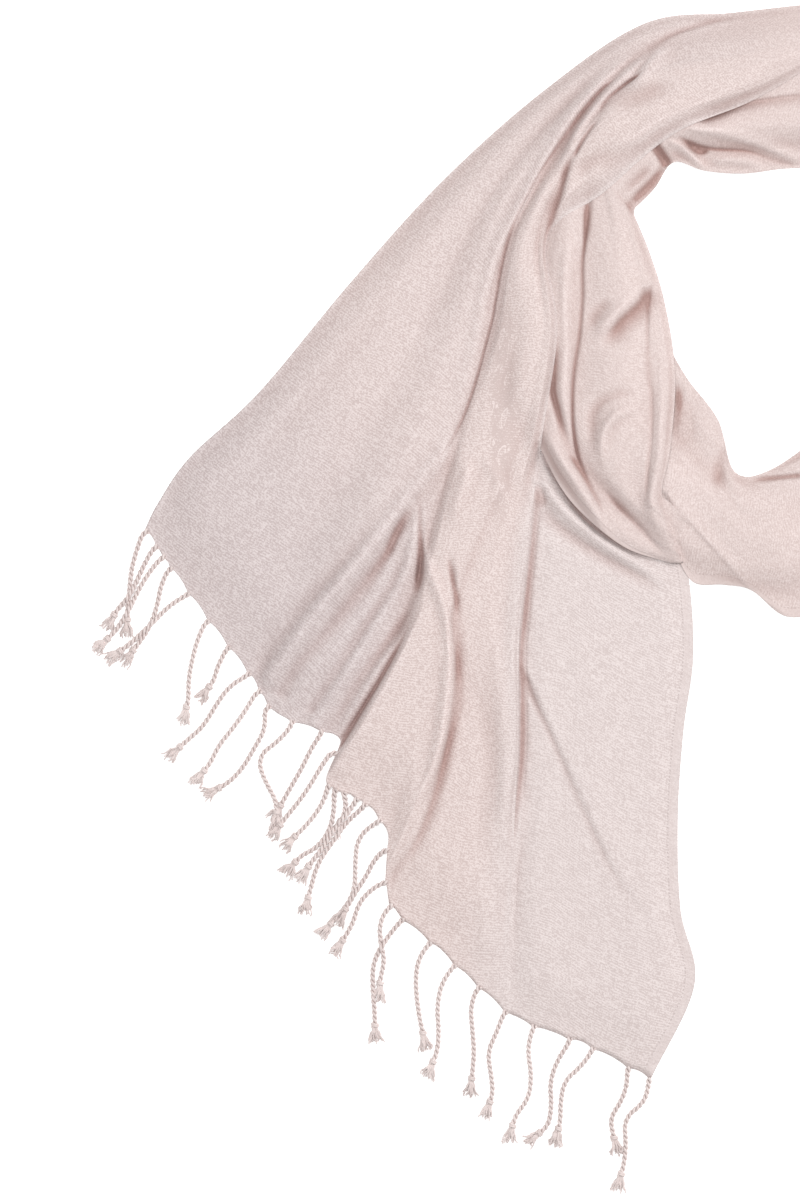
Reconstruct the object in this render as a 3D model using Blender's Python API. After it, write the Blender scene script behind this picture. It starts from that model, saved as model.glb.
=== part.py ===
"""A pashmina shawl laid flat: one fringed end spread out, the rest gathered into a neck loop.

The shawl is one cloth, 0.70 m wide and about 2.05 m long, with a knotted fringe at both ends.
It is modelled as the stretches that show, in the order in which they lie on the table:
the hidden folded layers, the tucked side of the near end, the loop, the far end, and on top
the side of the near end that crosses the loop. Every stretch is a wall lofted through its fold
lines. Plan sizes in the tables are millimetres: x to the right, y away from the fringed end's
corner, and z up from the table. The last step moves the origin under the middle of the shawl.
"""

import math
from collections import namedtuple

import bpy
import numpy as np
from mathutils import Vector
from mathutils.bvhtree import BVHTree

MM = 0.001

WALL = 1.6  # thickness of the cloth wall
SEAM = 0.3  # gap between neighbouring stretches
REST = 0.9  # free height kept between a stretch and the one it lies on
SPREAD = 7.0  # how far a covering stretch is held off the rim of what it covers
STEEPEST = 0.55  # the wall is thickened on slopes down to this upward share of its normal
SOFTENING = 10  # smoothing passes over the height that a covering stretch is lifted by
PROBE_HEIGHT = 500.0  # where the rays start that feel for the stretches underneath
SHARP_ANGLE = 50  # degrees from which an edge is shaded sharp

STRIP = 2.4  # width of the strip that the fringe is fused into
STRAND = 2.3  # width of a twisted strand
STRAND_DEPTH = 2.1  # its height
STRAND_REST = 1.7  # height of a strand's middle above the table
STRAND_FALL = 9.0  # length in which a strand sinks from a lifted hem to the table
STRAND_CLEAR = 0.5  # free space kept round a strand where it passes over another
STRAND_SECTIONS = 6  # sections along a strand's twisted length
STRIP_FOOT = 0.2  # free height kept between the strip's underside and the table
STRIP_POINTS = 1.2  # least spacing of the strip's sections
TUFT = 11.0  # length of the knot and the frayed tuft at a strand's end

BLUSH = (0.74, 0.64, 0.615, 1.0)

# A fold line: how many columns of faces lead to the next one, then the height of the cloth's
# middle above what it lies on at each station, then the plan point at each station.
Fold = namedtuple("Fold", "name columns lift plan")

# A rounded crease or roll that runs across the fold lines.
Crease = namedtuple("Crease", "name lift left right route")

# A strand of the fringe: its root, its heading over each fifth of its length in degrees from
# +X, and its length.
Strand = namedtuple("Strand", "x y first second third fourth fifth length")


# The near end where it crosses the loop. Stations run from the crown of the loop to the hem.
CROSSING_ROWS = (3, 2, 3, 3, 4, 4, 4, 3, 4)
CROSSING = (
    Fold(
        "outer edge", 3,
        (0, 0, 0, 0, 0, 0, 0, 0, 0, 0),
        ((313, 431), (241, 423), (176, 415), (104, 367), (31, 302),
         (-36, 228), (-101, 150), (-151, 103), (-174, 70), (-184, 50)),
    ),
    Fold(
        "left roll", 3,
        (5, 6, 7, 7, 6, 5, 4, 3, 2, 0.6),
        ((313, 425), (243, 414), (179, 406), (109, 358), (47, 294),
         (-6, 218), (-61, 142), (-112, 68), (-133, 27), (-147, -4)),
    ),
    Fold(
        "left hollow", 3,
        (5, 5, 4, 4, 3, 1.5, 0.6, 0, 0, 0),
        ((313, 420), (244, 405), (180, 397), (113, 351), (60, 287),
         (20, 210), (-25, 135), (-72, 40), (-92, -9), (-108, -56)),
    ),
    Fold(
        "first fold", 2,
        (5, 5, 6, 8, 9, 8, 8, 6, 4, 1),
        ((313, 415), (245, 399), (181, 389), (116, 343), (72, 280),
         (45, 203), (14, 127), (-40, 20), (-63, -32), (-89, -84)),
    ),
    Fold(
        "first crease", 2,
        (4, 4, 1, 0, 0, 0, 0, 1, 1, 0.5),
        ((313, 412), (246, 393), (181, 380), (120, 335), (84, 274),
         (64, 198), (38, 122), (-19, 6), (-47, -42), (-77, -89)),
    ),
    Fold(
        "pleat shadow", 1,
        (4, 4, 1, 0, 0, 0, 0, 0, 0, 0),
        ((313, 410), (246, 390), (182, 377), (123, 333), (86, 274),
         (68, 197), (42, 121), (6, -1), (-17, -58), (-44, -104)),
    ),
    Fold(
        "pleat left edge", 2,
        (4, 5, 4, 5, 7, 8, 8, 7, 6, 4.5),
        ((313, 408), (247, 387), (183, 373), (126, 332), (89, 273),
         (73, 196), (48, 120), (14, -4), (-10, -61), (-54, -130)),
    ),
    Fold(
        "pleat crown", 2,
        (5, 6, 6, 7, 8, 9, 9, 8, 7, 5),
        ((313, 405), (248, 384), (184, 369), (129, 331), (92, 271),
         (82, 195), (59, 117), (23, -4), (9, -68), (-25, -148)),
    ),
    Fold(
        "pleat shoulder", 1,
        (5, 6, 6, 7, 7, 8, 9, 8, 7.5, 5),
        ((313, 403), (248, 382), (185, 366), (132, 331), (95, 270),
         (90, 194), (71, 116), (30, -4), (24, -75), (-9, -174)),
    ),
    Fold(
        "pleat right edge", 1,
        (5, 6, 5, 5, 6, 7, 8, 8, 7.5, 5),
        ((313, 402), (249, 379), (186, 364), (134, 331), (98, 269),
         (96, 194), (80, 115), (35, -5), (35, -81), (-11, -196)),
    ),
    Fold(
        "second crease", 3,
        (5, 5, 1, 0, 3, 6, 7, 4, 0.8, 0),
        ((313, 400), (250, 376), (186, 361), (137, 331), (101, 266),
         (103, 194), (87, 115), (41, -5), (42, -84), (-10, -213)),
    ),
    Fold(
        "middle fold", 3,
        (5, 6, 7, 6, 3, 6, 7, 4, 2.5, 1),
        ((313, 397), (253, 367), (192, 347), (143, 311), (104, 264),
         (108, 194), (95, 115), (65, -3), (63, -104), (29, -254)),
    ),
    Fold(
        "right edge", 0,
        (1, 1, 1, 1, 1, 2, 4, 6, 5, 0),
        ((313, 395), (256, 360), (196, 334), (147, 293), (107, 261),
         (113, 194), (102, 115), (87, 0), (84, -122), (75, -297)),
    ),
)

# The near end where it passes under the loop. Stations run from the tuck to the hem.
TUCKED_ROWS = (4, 3, 3, 3, 4, 3, 3)
TUCKED = (
    Fold(
        "seam edge", 1,
        (1, 4, 6, 5.5, 5, 3, 1, 0),
        ((102, 109), (94, 43), (86, -14), (85, -72), (84, -130), (78, -202), (76, -252), (75, -297)),
    ),
    Fold(
        "seam foot", 3,
        (0, 0.5, 0.5, 0.5, 0, 0, 0, 0),
        ((108, 107), (99, 41), (91, -16), (91, -75), (90, -132), (84, -204), (81, -255), (81, -301)),
    ),
    Fold(
        "near field", 3,
        (0, 0, 0, 0, 0, 0, 0.5, 0),
        ((119, 96), (122, 32), (119, -29), (117, -82), (115, -140), (109, -209), (107, -261), (106, -312)),
    ),
    Fold(
        "middle field", 3,
        (0, 0, 0.5, 1, 0.5, 0, 0, 0),
        ((137, 73), (148, 20), (148, -37), (144, -88), (143, -146), (140, -214), (138, -270), (132, -321)),
    ),
    Fold(
        "far field", 3,
        (0, 0, 0, 0, 0.5, 1, 1, 0.5),
        ((162, 52), (176, 10), (180, -43), (174, -92), (171, -153), (171, -218), (173, -281), (157, -334)),
    ),
    Fold(
        "selvedge", 0,
        (0, 0, 0, 0, 0, 0, 0, 0),
        ((203, 37), (209, 7), (211, -43), (204, -95), (200, -158), (202, -223), (212, -277), (180, -346)),
    ),
)
TUCKED_CREASES = (
    Crease(
        "roll along the loop", 7, 7, 9,
        ((97, 103), (108, 85), (120, 66), (137, 48), (153, 36), (180, 23), (199, 16)),
    ),
    Crease(
        "diagonal fold", 5, 22, 7,
        ((84, -40), (95, -71), (109, -109), (120, -135), (131, -163), (145, -187), (166, -211), (187, -238),
         (204, -263)),
    ),
)

# The back of the loop, from where the far end leaves it to under the crossing end.
BACK_ROWS = (3, 3, 2, 2, 2, 3)
BACK = (
    Fold(
        "outer edge", 3,
        (0, 0, 0, 0, 0, 0, 0),
        ((364, 400), (288, 414), (245, 407), (212, 402), (173, 382), (144, 354), (122, 328)),
    ),
    Fold(
        "outer fold", 3,
        (4, 5, 5, 5, 5, 4, 4),
        ((364, 380), (288, 390), (243, 383), (213, 377), (177, 366), (152, 341), (132, 318)),
    ),
    Fold(
        "upper crease", 3,
        (1, 1.5, 1, 2, 3, 3, 2),
        ((364, 361), (288, 362), (243, 357), (214, 354), (182, 349), (159, 329), (141, 308)),
    ),
    Fold(
        "leaf fold", 2,
        (4, 5, 6, 6, 5, 4, 4),
        ((364, 344), (288, 342), (243, 340), (215, 338), (187, 336), (167, 316), (150, 298)),
    ),
    Fold(
        "leaf crease", 2,
        (2, 1, 0, 0, 1, 2, 3),
        ((364, 325), (288, 324), (245, 323), (216, 323), (192, 325), (175, 305), (158, 289)),
    ),
    Fold(
        "neck edge", 0,
        (0, 1, 2, 2, 2, 1, 1),
        ((364, 308), (288, 311), (248, 307), (219, 309), (197, 315), (183, 296), (167, 280)),
    ),
)

# The left side of the loop, from under the crossing end down to its lower corner.
LEFT_ROWS = (2, 3, 3, 3, 3, 2, 2)
LEFT = (
    Fold(
        "outer edge", 3,
        (0, 0, 0, 0, 1, 1, 1, 1),
        ((122, 328), (91, 263), (83, 209), (82, 155), (102, 107), (125, 74), (160, 39), (194, 26)),
    ),
    Fold(
        "outer fold", 3,
        (4, 5, 6, 6, 6, 5, 4, 2),
        ((132, 318), (112, 259), (109, 210), (107, 156), (114, 107), (135, 77), (167, 42), (196, 28)),
    ),
    Fold(
        "long crease", 3,
        (2, 0.5, 0, 0, 0, 0, 1, 1.5),
        ((141, 308), (133, 257), (131, 212), (125, 156), (127, 107), (148, 78), (173, 46), (197, 30)),
    ),
    Fold(
        "broad fold", 3,
        (4, 5, 6, 6, 6, 6, 4, 2.5),
        ((149, 300), (153, 254), (156, 212), (155, 156), (153, 105), (162, 74), (177, 49), (199, 32)),
    ),
    Fold(
        "roll crease", 2,
        (3, 4, 4, 1, 0.5, 1, 2, 2),
        ((156, 292), (168, 252), (176, 212), (181, 156), (180, 105), (174, 72), (181, 51), (200, 35)),
    ),
    Fold(
        "roll", 2,
        (3, 4, 5, 6, 6, 6, 4, 2),
        ((162, 286), (175, 251), (184, 212), (190, 157), (187, 107), (180, 71), (184, 53), (202, 37)),
    ),
    Fold(
        "neck edge", 0,
        (1, 0.5, 0.5, 1, 2, 3, 2, 1),
        ((167, 280), (180, 249), (191, 212), (198, 161), (194, 108), (185, 72), (187, 53), (204, 39)),
    ),
)

# The front of the loop, from under the left side to beyond the middle of the neck.
FRONT_ROWS = (2, 3, 3, 3, 3)
FRONT = (
    Fold(
        "neck edge", 3,
        (0, 0, 0, 0, 0, 0),
        ((187, 164), (206, 161), (228, 130), (241, 92), (268, 94), (313, 126)),
    ),
    Fold(
        "neck fold", 3,
        (1, 2, 2.5, 3, 4, 4),
        ((184, 133), (204, 135), (226, 111), (243, 79), (269, 81), (314, 107)),
    ),
    Fold(
        "flat", 3,
        (1, 1, 1, 1, 1, 1.5),
        ((179, 104), (204, 108), (225, 89), (246, 63), (271, 63), (315, 81)),
    ),
    Fold(
        "low fold", 3,
        (1, 2, 2, 2, 3, 4),
        ((180, 82), (204, 78), (226, 66), (248, 45), (274, 41), (315, 52)),
    ),
    Fold(
        "hollow", 3,
        (0.5, 1, 1, 1, 1, 2),
        ((188, 61), (207, 47), (230, 39), (252, 26), (276, 16), (315, 23)),
    ),
    Fold(
        "outer edge", 0,
        (0, 0, 0, 0, 0, 0),
        ((197, 36), (211, 13), (233, 11), (253, 7), (279, -12), (315, -6)),
    ),
)

# The right side of the loop, from the front round to the crown.
RIGHT_ROWS = (3, 3, 3, 3, 3, 3)
RIGHT = (
    Fold(
        "neck edge", 3,
        (0, 0, 0, 0, 0, 1, 1),
        ((313, 126), (364, 151), (391, 202), (396, 259), (383, 313), (353, 371), (313, 395)),
    ),
    Fold(
        "inner fold", 3,
        (4, 5, 6, 6, 6, 5, 5),
        ((314, 94), (374, 122), (412, 184), (421, 256), (405, 328), (364, 385), (313, 405)),
    ),
    Fold(
        "crease", 3,
        (1.5, 2, 2, 1, 2, 3, 4),
        ((315, 61), (385, 94), (434, 166), (446, 252), (426, 342), (374, 397), (313, 413)),
    ),
    Fold(
        "outer fold", 3,
        (4, 5, 6, 6, 6, 5, 5),
        ((315, 29), (395, 63), (455, 144), (469, 243), (446, 356), (385, 408), (313, 422)),
    ),
    Fold(
        "outer edge", 0,
        (0, 0, 0, 0, 0, 0, 0),
        ((315, -6), (403, 30), (477, 119), (494, 234), (468, 373), (396, 418), (313, 431)),
    ),
)

# The far end, from the back of the loop out under its right side to the second hem.
FAR_ROWS = (3, 3, 3, 3)
FAR = (
    Fold(
        "outer edge", 3,
        (0, 0, 0, 0, 0),
        ((364, 400), (439, 382), (518, 313), (587, 202), (641, 94)),
    ),
    Fold(
        "first fold", 3,
        (4, 4, 4, 5, 4),
        ((364, 380), (431, 359), (500, 289), (559, 179), (601, 66)),
    ),
    Fold(
        "first crease", 3,
        (1, 1, 0, 0, 0),
        ((364, 361), (424, 336), (481, 265), (529, 156), (562, 42)),
    ),
    Fold(
        "second fold", 3,
        (4, 4, 4, 4, 3),
        ((364, 344), (417, 313), (462, 241), (498, 134), (518, 16)),
    ),
    Fold(
        "second crease", 3,
        (2, 1, 0, 0, 0),
        ((364, 325), (410, 289), (444, 217), (464, 112), (475, -10)),
    ),
    Fold(
        "inner edge", 0,
        (0, 0, 0, 0, 0),
        ((364, 308), (403, 266), (425, 194), (432, 90), (434, -36)),
    ),
)

# The folded layers inside the loop: the middle of the bundle, with its half width.
Bundle = namedtuple("Bundle", "x y half_width")
BUNDLE_ROWS = 2
BUNDLE_FOOT = 0.8  # height of the lowest layer's edge, which the bundle's ends taper to
BUNDLE_TAPER = 0.25  # share of the full height left at the ends
BUNDLE = (
    Bundle(345, 357, 26),
    Bundle(290, 362, 30),
    Bundle(238, 358, 30),
    Bundle(188, 347, 22),
    Bundle(154, 309, 22),
    Bundle(140, 262, 28),
    Bundle(138, 209, 34),
    Bundle(142, 158, 36),
    Bundle(156, 112, 28),
    Bundle(184, 82, 22),
    Bundle(222, 56, 26),
    Bundle(262, 42, 28),
    Bundle(300, 52, 30),
)
# Its section: the share of the half width and the height of each layer's edge.
BUNDLE_SECTION = (
    (1.00, 1.0), (0.95, 2.6), (0.84, 3.0), (0.79, 5.6), (0.64, 6.0), (0.56, 8.0), (0.0, 8.8),
)

# The near fringe, from the left corner of the hem to the right one.
FRINGE = (
    Strand(-184, 48, 250, 255, 265, 265, 270, 79),
    Strand(-177, 37, 240, 245, 245, 225, 250, 71),
    Strand(-171, 30, 230, 240, 245, 235, 220, 85),
    Strand(-165, 23, 245, 260, 250, 235, 230, 79),
    Strand(-153, 4, 210, 225, 225, 220, 215, 77),
    Strand(-138, -15, 245, 255, 260, 270, 250, 78),
    Strand(-126, -36, 240, 245, 255, 235, 220, 45),
    Strand(-109, -53, 210, 235, 240, 220, 225, 86),
    Strand(-102, -66, 240, 235, 230, 245, 225, 83),
    Strand(-98, -79, 275, 240, 240, 225, 200, 84),
    Strand(-78, -89, 230, 215, 290, 300, 260, 89),
    Strand(-60, -103, 235, 245, 240, 240, 245, 74),
    Strand(-53, -107, 235, 240, 235, 230, 235, 80),
    Strand(-51, -132, 255, 240, 230, 225, 225, 58),
    Strand(-46, -135, 272, 258, 234, 205, 245, 77),
    Strand(-40, -136, 285, 268, 250, 235, 230, 35),
    Strand(-33, -147, 235, 230, 240, 230, 240, 73),
    Strand(-26, -148, 220, 235, 235, 255, 255, 93),
    Strand(-14, -158, 215, 265, 270, 235, 225, 100),
    Strand(-9, -180, 225, 245, 235, 240, 235, 66),
    Strand(-10, -203, 210, 230, 255, 240, 235, 67),
    Strand(-5, -218, 235, 270, 285, 255, 270, 72),
    Strand(4, -228, 230, 240, 270, 275, 270, 96),
    Strand(22, -246, 235, 265, 275, 280, 285, 81),
    Strand(38, -265, 235, 260, 275, 265, 240, 86),
    Strand(53, -283, 250, 275, 275, 265, 265, 80),
    Strand(75, -298, 250, 245, 280, 275, 240, 80),
    Strand(96, -308, 255, 280, 265, 230, 265, 88),
    Strand(122, -317, 235, 250, 275, 260, 200, 86),
    Strand(139, -323, 235, 220, 260, 270, 250, 78),
    Strand(164, -338, 270, 250, 235, 280, 290, 66),
    Strand(179, -346, 260, 215, 275, 265, 250, 87),
)
# The knot and the tuft at a strand's end: share of their length, and half width in strand widths.
TUFT_SECTION = ((0.0, 0.45), (0.3, 0.95), (0.6, 0.6), (1.0, 1.05))

FAR_STRANDS = 32
FAR_STRAND_LENGTH = 80.0
FAR_STRAND_SWAY = 16.0  # degrees that a strand wanders off its hem's square


def clear_scene():
    for thing in list(bpy.data.objects):
        bpy.data.objects.remove(thing, do_unlink=True)


def through(points, at):
    """A smooth curve through the points, read at the given places counted in points."""
    points = np.asarray(points, float)
    last = len(points) - 1
    first = np.clip(np.floor(at).astype(int), 0, last - 1)
    t = (np.asarray(at) - first)[:, None]
    p1, p2 = points[first], points[first + 1]
    p0 = np.where((first == 0)[:, None], 2 * p1 - p2, points[np.maximum(first - 1, 0)])
    p3 = np.where((first == last - 1)[:, None], 2 * p2 - p1, points[np.minimum(first + 2, last)])
    slope1, slope2 = (p2 - p0) / 2, (p3 - p1) / 2
    rise = p2 - p1
    return p1 + slope1 * t + (3 * rise - 2 * slope1 - slope2) * t**2 + (slope1 + slope2 - 2 * rise) * t**3


def across(knots, values, at):
    """A curve through the values that never swings past them, so folds keep their stated heights."""
    step = np.diff(knots)
    rate = np.diff(values, axis=0) / step[:, None]
    slope = np.zeros_like(values)
    same = rate[:-1] * rate[1:] > 0
    mean = 2 * rate[:-1] * rate[1:] / np.where(same, rate[:-1] + rate[1:], 1)
    slope[1:-1] = np.where(same, mean, 0)
    slope[0], slope[-1] = rate[0], rate[-1]
    k = np.clip(np.searchsorted(knots, at, side="right") - 1, 0, len(knots) - 2)
    h = step[k][:, None]
    t = ((at - knots[k]) / step[k])[:, None]
    a, b = values[k], values[k + 1]
    return (
        a * (1 + 2 * t) * (1 - t) ** 2
        + b * t**2 * (3 - 2 * t)
        + h * slope[k] * t * (1 - t) ** 2
        + h * slope[k + 1] * t**2 * (t - 1)
    )


def loft(folds, rows_between):
    """The grid of a stretch: rows along it, columns across it, each point as x, y and lift."""
    stops = [np.arange(n) / n + station for station, n in enumerate(rows_between)]
    along = np.concatenate([*stops, [len(rows_between)]])
    lines = np.array([through(np.column_stack([fold.plan, fold.lift]), along) for fold in folds])
    lines[:, :, 2] = np.maximum(lines[:, :, 2], 0)
    counts = [fold.columns for fold in folds[:-1]]
    read_at = np.concatenate([*[np.arange(n) / n + k for k, n in enumerate(counts)], [len(counts)]])
    grid = []
    for row in range(len(along)):
        line = lines[:, row]
        reach = np.concatenate([[0], np.cumsum(np.hypot(*np.diff(line[:, :2], axis=0).T) + 0.01)])
        places = np.interp(read_at, np.arange(len(reach)), reach)
        grid.append(across(reach, line, places))
    return np.array(grid)


def smoothstep(t):
    t = np.clip(t, 0, 1)
    return t * t * (3 - 2 * t)


def add_crease(grid, crease):
    """Raises a roll along a route: it falls off on the two sides over the stated widths."""
    route = np.array(crease.route, float)
    run = np.diff(route, axis=0)
    length = np.hypot(*run.T)
    before = np.concatenate([[0], np.cumsum(length)])
    points = grid[..., :2].reshape(-1, 2)
    best = np.full(len(points), np.inf)
    side = np.zeros(len(points))
    share = np.zeros(len(points))
    for start, step, size, done in zip(route, run, length, before):
        t = np.clip(((points - start) @ step) / size**2, 0, 1)
        away = points - (start + t[:, None] * step)
        distance = np.hypot(*away.T)
        nearer = distance < best
        best = np.where(nearer, distance, best)
        side = np.where(nearer, step[0] * away[:, 1] - step[1] * away[:, 0], side)
        share = np.where(nearer, (done + t * size) / before[-1], share)
    width = np.where(side > 0, crease.left, crease.right)
    ends = smoothstep(share / 0.2) * smoothstep((1 - share) / 0.25)
    raised = crease.lift * np.exp(-((best / width) ** 2)) * ends
    grid[..., 2] += raised.reshape(grid.shape[:2])


def cut_straight(grid, row, gap):
    """Puts an end row on the straight line between its ends, then moves it inwards by the gap."""
    first, last = grid[row, 0, :2].copy(), grid[row, -1, :2].copy()
    run = (last - first) / np.hypot(*(last - first))
    along = (grid[row, :, :2] - first) @ run
    inner = grid[1 if row == 0 else row - 1, :, :2].mean(axis=0)
    square = np.array([-run[1], run[0]])
    square *= np.sign((inner - first) @ square)
    grid[row, :, :2] = first + along[:, None] * run + gap * square


def follow(grid, column, line, gap):
    """Puts a side column beside a neighbour's edge, the gap away on its right."""
    reach = reach_along(line)
    for row in range(len(grid)):
        at = nearest_reach(line, *grid[row, column, :2])
        before, after = (
            np.array([np.interp(at + near, reach, line[:, k]) for k in range(2)]) for near in (-1, 1)
        )
        run = (after - before) / np.hypot(*(after - before))
        grid[row, column, :2] = (before + after) / 2 + gap * np.array([-run[1], run[0]])


def surface_of(solids):
    """One tree of faces for the stretches that lie underneath."""
    points, faces = [], []
    for solid in solids:
        start = len(points)
        points += [vertex.co / MM for vertex in solid.data.vertices]
        faces += [[start + k for k in face.vertices] for face in solid.data.polygons]
    return BVHTree.FromPolygons(points, faces)


def lay_on(grid, solids):
    """Turns lift into height: the cloth drapes over the solids under it and rests on the table."""
    below = surface_of(solids)
    ring = [(0.0, 0.0)]
    for share in (0.5, 1.0):
        ring += [
            (share * SPREAD * math.cos(turn * math.pi / 4), share * SPREAD * math.sin(turn * math.pi / 4))
            for turn in range(8)
        ]
    need = np.full(grid.shape[:2], WALL / 2)
    for row, column in np.ndindex(*need.shape):
        x, y, _ = grid[row, column]
        for dx, dy in ring:
            hit, _, _, _ = below.ray_cast(Vector((x + dx, y + dy, PROBE_HEIGHT)), Vector((0, 0, -1)))
            if hit is not None:
                need[row, column] = max(need[row, column], hit.z + REST + WALL / 2)
    height = need.copy()
    for _ in range(SOFTENING):
        padded = np.pad(height, 1, mode="edge")
        mean = (padded[:-2, 1:-1] + padded[2:, 1:-1] + padded[1:-1, :-2] + padded[1:-1, 2:]) / 4
        height = np.maximum(need, (height + mean) / 2)
    grid[..., 2] += height


def upward_share(grid):
    """How much of the surface's normal points up, at each point of the grid."""
    down = np.gradient(grid, axis=0)
    over = np.gradient(grid, axis=1)
    normal = np.cross(down, over)
    return np.abs(normal[..., 2]) / np.maximum(np.linalg.norm(normal, axis=2), 1e-9)


def faces_of(grid):
    """Two triangles for each cell, split along the diagonal that keeps both open in plan."""
    rows, columns = grid.shape[:2]
    number = np.arange(rows * columns).reshape(rows, columns)
    flat = grid[..., :2].reshape(-1, 2)

    def area(a, b, c):
        return np.cross(flat[b] - flat[a], flat[c] - flat[a]) / 2

    faces = []
    a, b = number[:-1, :-1].ravel(), number[1:, :-1].ravel()
    c, d = number[1:, 1:].ravel(), number[:-1, 1:].ravel()
    turn = np.sign(np.median(area(a, b, c)))
    one = np.minimum(turn * area(a, b, c), turn * area(a, c, d))
    other = np.minimum(turn * area(a, b, d), turn * area(b, c, d))
    for k in range(len(a)):
        pair = ((a[k], b[k], c[k]), (a[k], c[k], d[k]))
        if other[k] > one[k]:
            pair = ((a[k], b[k], d[k]), (b[k], c[k], d[k]))
        faces += pair if turn > 0 else [face[::-1] for face in pair]
    return faces, turn


def rim_of(rows, columns):
    """The numbers of the grid's border points, in order."""
    number = np.arange(rows * columns).reshape(rows, columns)
    return [*number[:, 0], *number[-1, 1:], *number[-2::-1, -1], *number[0, -2:0:-1]]


def make_object(name, points, faces):
    mesh = bpy.data.meshes.new(name)
    mesh.from_pydata([tuple(float(c) * MM for c in point) for point in points], [], faces)
    mesh.validate()
    mesh.materials.append(cloth_material(name))
    thing = bpy.data.objects.new(name, mesh)
    bpy.context.scene.collection.objects.link(thing)
    mesh.shade_smooth()
    mesh.set_sharp_from_angle(angle=math.radians(SHARP_ANGLE))
    return thing


def cloth_material(name):
    material = bpy.data.materials.new(name + " cloth")
    material.use_nodes = True
    shader = material.node_tree.nodes["Principled BSDF"]
    shader.inputs["Base Color"].default_value = BLUSH
    shader.inputs["Roughness"].default_value = 0.55
    shader.inputs["Metallic"].default_value = 0.0
    shader.inputs["Sheen Weight"].default_value = 0.3
    return material


def close_between(name, top, bottom):
    """A closed body between two grids that share their plan."""
    rows, columns = top.shape[:2]
    faces, turn = faces_of(top)
    count = rows * columns
    faces += [[count + k for k in face[::-1]] for face in faces]
    rim = rim_of(rows, columns)
    for a, b in zip(rim, rim[1:] + rim[:1]):
        side = [(a, count + a, count + b), (a, count + b, b)]
        faces += side if turn > 0 else [face[::-1] for face in side]
    points = np.concatenate([top.reshape(-1, 3), bottom.reshape(-1, 3)])
    return make_object(name, points, faces)


def cloth_wall(name, grid):
    """The stretch as a wall of even thickness, with its underside flat where it meets the table."""
    half = WALL / 2 / np.maximum(upward_share(grid), STEEPEST)
    top, bottom = grid.copy(), grid.copy()
    top[..., 2] += half
    bottom[..., 2] = np.maximum(bottom[..., 2] - half, 0)
    return close_between(name, top, bottom)


def folded_layers(name):
    """The hidden layers of the loop as one low rounded body, stepped at its edges like a pile."""
    at = np.linspace(0, len(BUNDLE) - 1, BUNDLE_ROWS * (len(BUNDLE) - 1) + 1)
    middle = through(BUNDLE, at)
    run = np.gradient(middle[:, :2], axis=0)
    square = np.column_stack([-run[:, 1], run[:, 0]]) / np.hypot(*run.T)[:, None]
    section = [(-share, height) for share, height in BUNDLE_SECTION]
    section += [(share, height) for share, height in BUNDLE_SECTION[-2::-1]]
    top = np.zeros((len(at), len(section), 3))
    for column, (share, height) in enumerate(section):
        top[:, column, :2] = middle[:, :2] + square * (middle[:, 2] * share)[:, None]
        top[:, column, 2] = height
    ends = smoothstep(np.minimum(np.arange(len(at)), np.arange(len(at))[::-1]) / BUNDLE_ROWS)
    share_left = BUNDLE_TAPER + (1 - BUNDLE_TAPER) * ends
    top[..., 2] = BUNDLE_FOOT + (top[..., 2] - BUNDLE_FOOT) * share_left[:, None]
    bottom = top.copy()
    bottom[..., 2] = 0
    return close_between(name, top, bottom)


def hem_normals(hem):
    """The outward direction in plan at each point of a hem that runs with the table on its right."""
    run = np.diff(hem[:, :2], axis=0)
    run /= np.hypot(*run.T)[:, None]
    out = np.column_stack([run[:, 1], -run[:, 0]])
    before = np.concatenate([out[:1], out])
    after = np.concatenate([out, out[-1:]])
    both = before + after
    return both / np.maximum(1 + (before * after).sum(axis=1), 0.5)[:, None]


def reach_along(line):
    return np.concatenate([[0], np.cumsum(np.hypot(*np.diff(line[:, :2], axis=0).T))])


def nearest_reach(line, x, y):
    """How far along the line its nearest point to a plan point lies."""
    reach = reach_along(line)
    best, found = np.inf, 0.0
    for k in range(len(line) - 1):
        start, step = line[k, :2], line[k + 1, :2] - line[k, :2]
        t = np.clip(np.dot((x, y) - start, step) / np.dot(step, step), 0, 1)
        distance = np.hypot(*(start + t * step - (x, y)))
        if distance < best:
            best, found = distance, reach[k] + t * np.hypot(*step)
    return found


def strand_path(start, out, strand):
    """A strand's plan path: distance, x, y, heading and half width, a row for every millimetre."""
    away = np.linspace(0, strand.length, round(strand.length) + 1)
    headings = np.radians([math.degrees(math.atan2(out[1], out[0])) % 360, *strand[2:7]])
    heading = np.interp(away, np.array([0, *(np.arange(5) + 0.5) / 5]) * strand.length, headings)
    step = np.column_stack([np.cos(heading), np.sin(heading)]) * away[1]
    plan = start[:2] + np.concatenate([[[0, 0]], np.cumsum((step[:-1] + step[1:]) / 2, axis=0)])
    share, half = np.array(TUFT_SECTION).T
    half = np.interp((away - (strand.length - TUFT)) / TUFT, [-0.1, *share], [0.5, *half]) * STRAND
    return np.column_stack([away, plan, heading, half])


def strand_heights(path, start, laid):
    """The height of a strand that sinks from its root to the table and passes over those laid before."""
    height = STRAND_REST + (start[2] - STRAND_REST) * np.exp(-path[:, 0] / STRAND_FALL)
    for other in laid:
        apart = np.hypot(path[:, None, 1] - other[None, :, 1], path[:, None, 2] - other[None, :, 2])
        meets = apart < path[:, None, 4] + other[None, :, 4] + STRAND_CLEAR
        above = np.where(meets, other[None, :, 5] + STRAND_DEPTH + STRAND_CLEAR, 0).max(axis=1)
        height = np.maximum(height, above)
    return height


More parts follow.
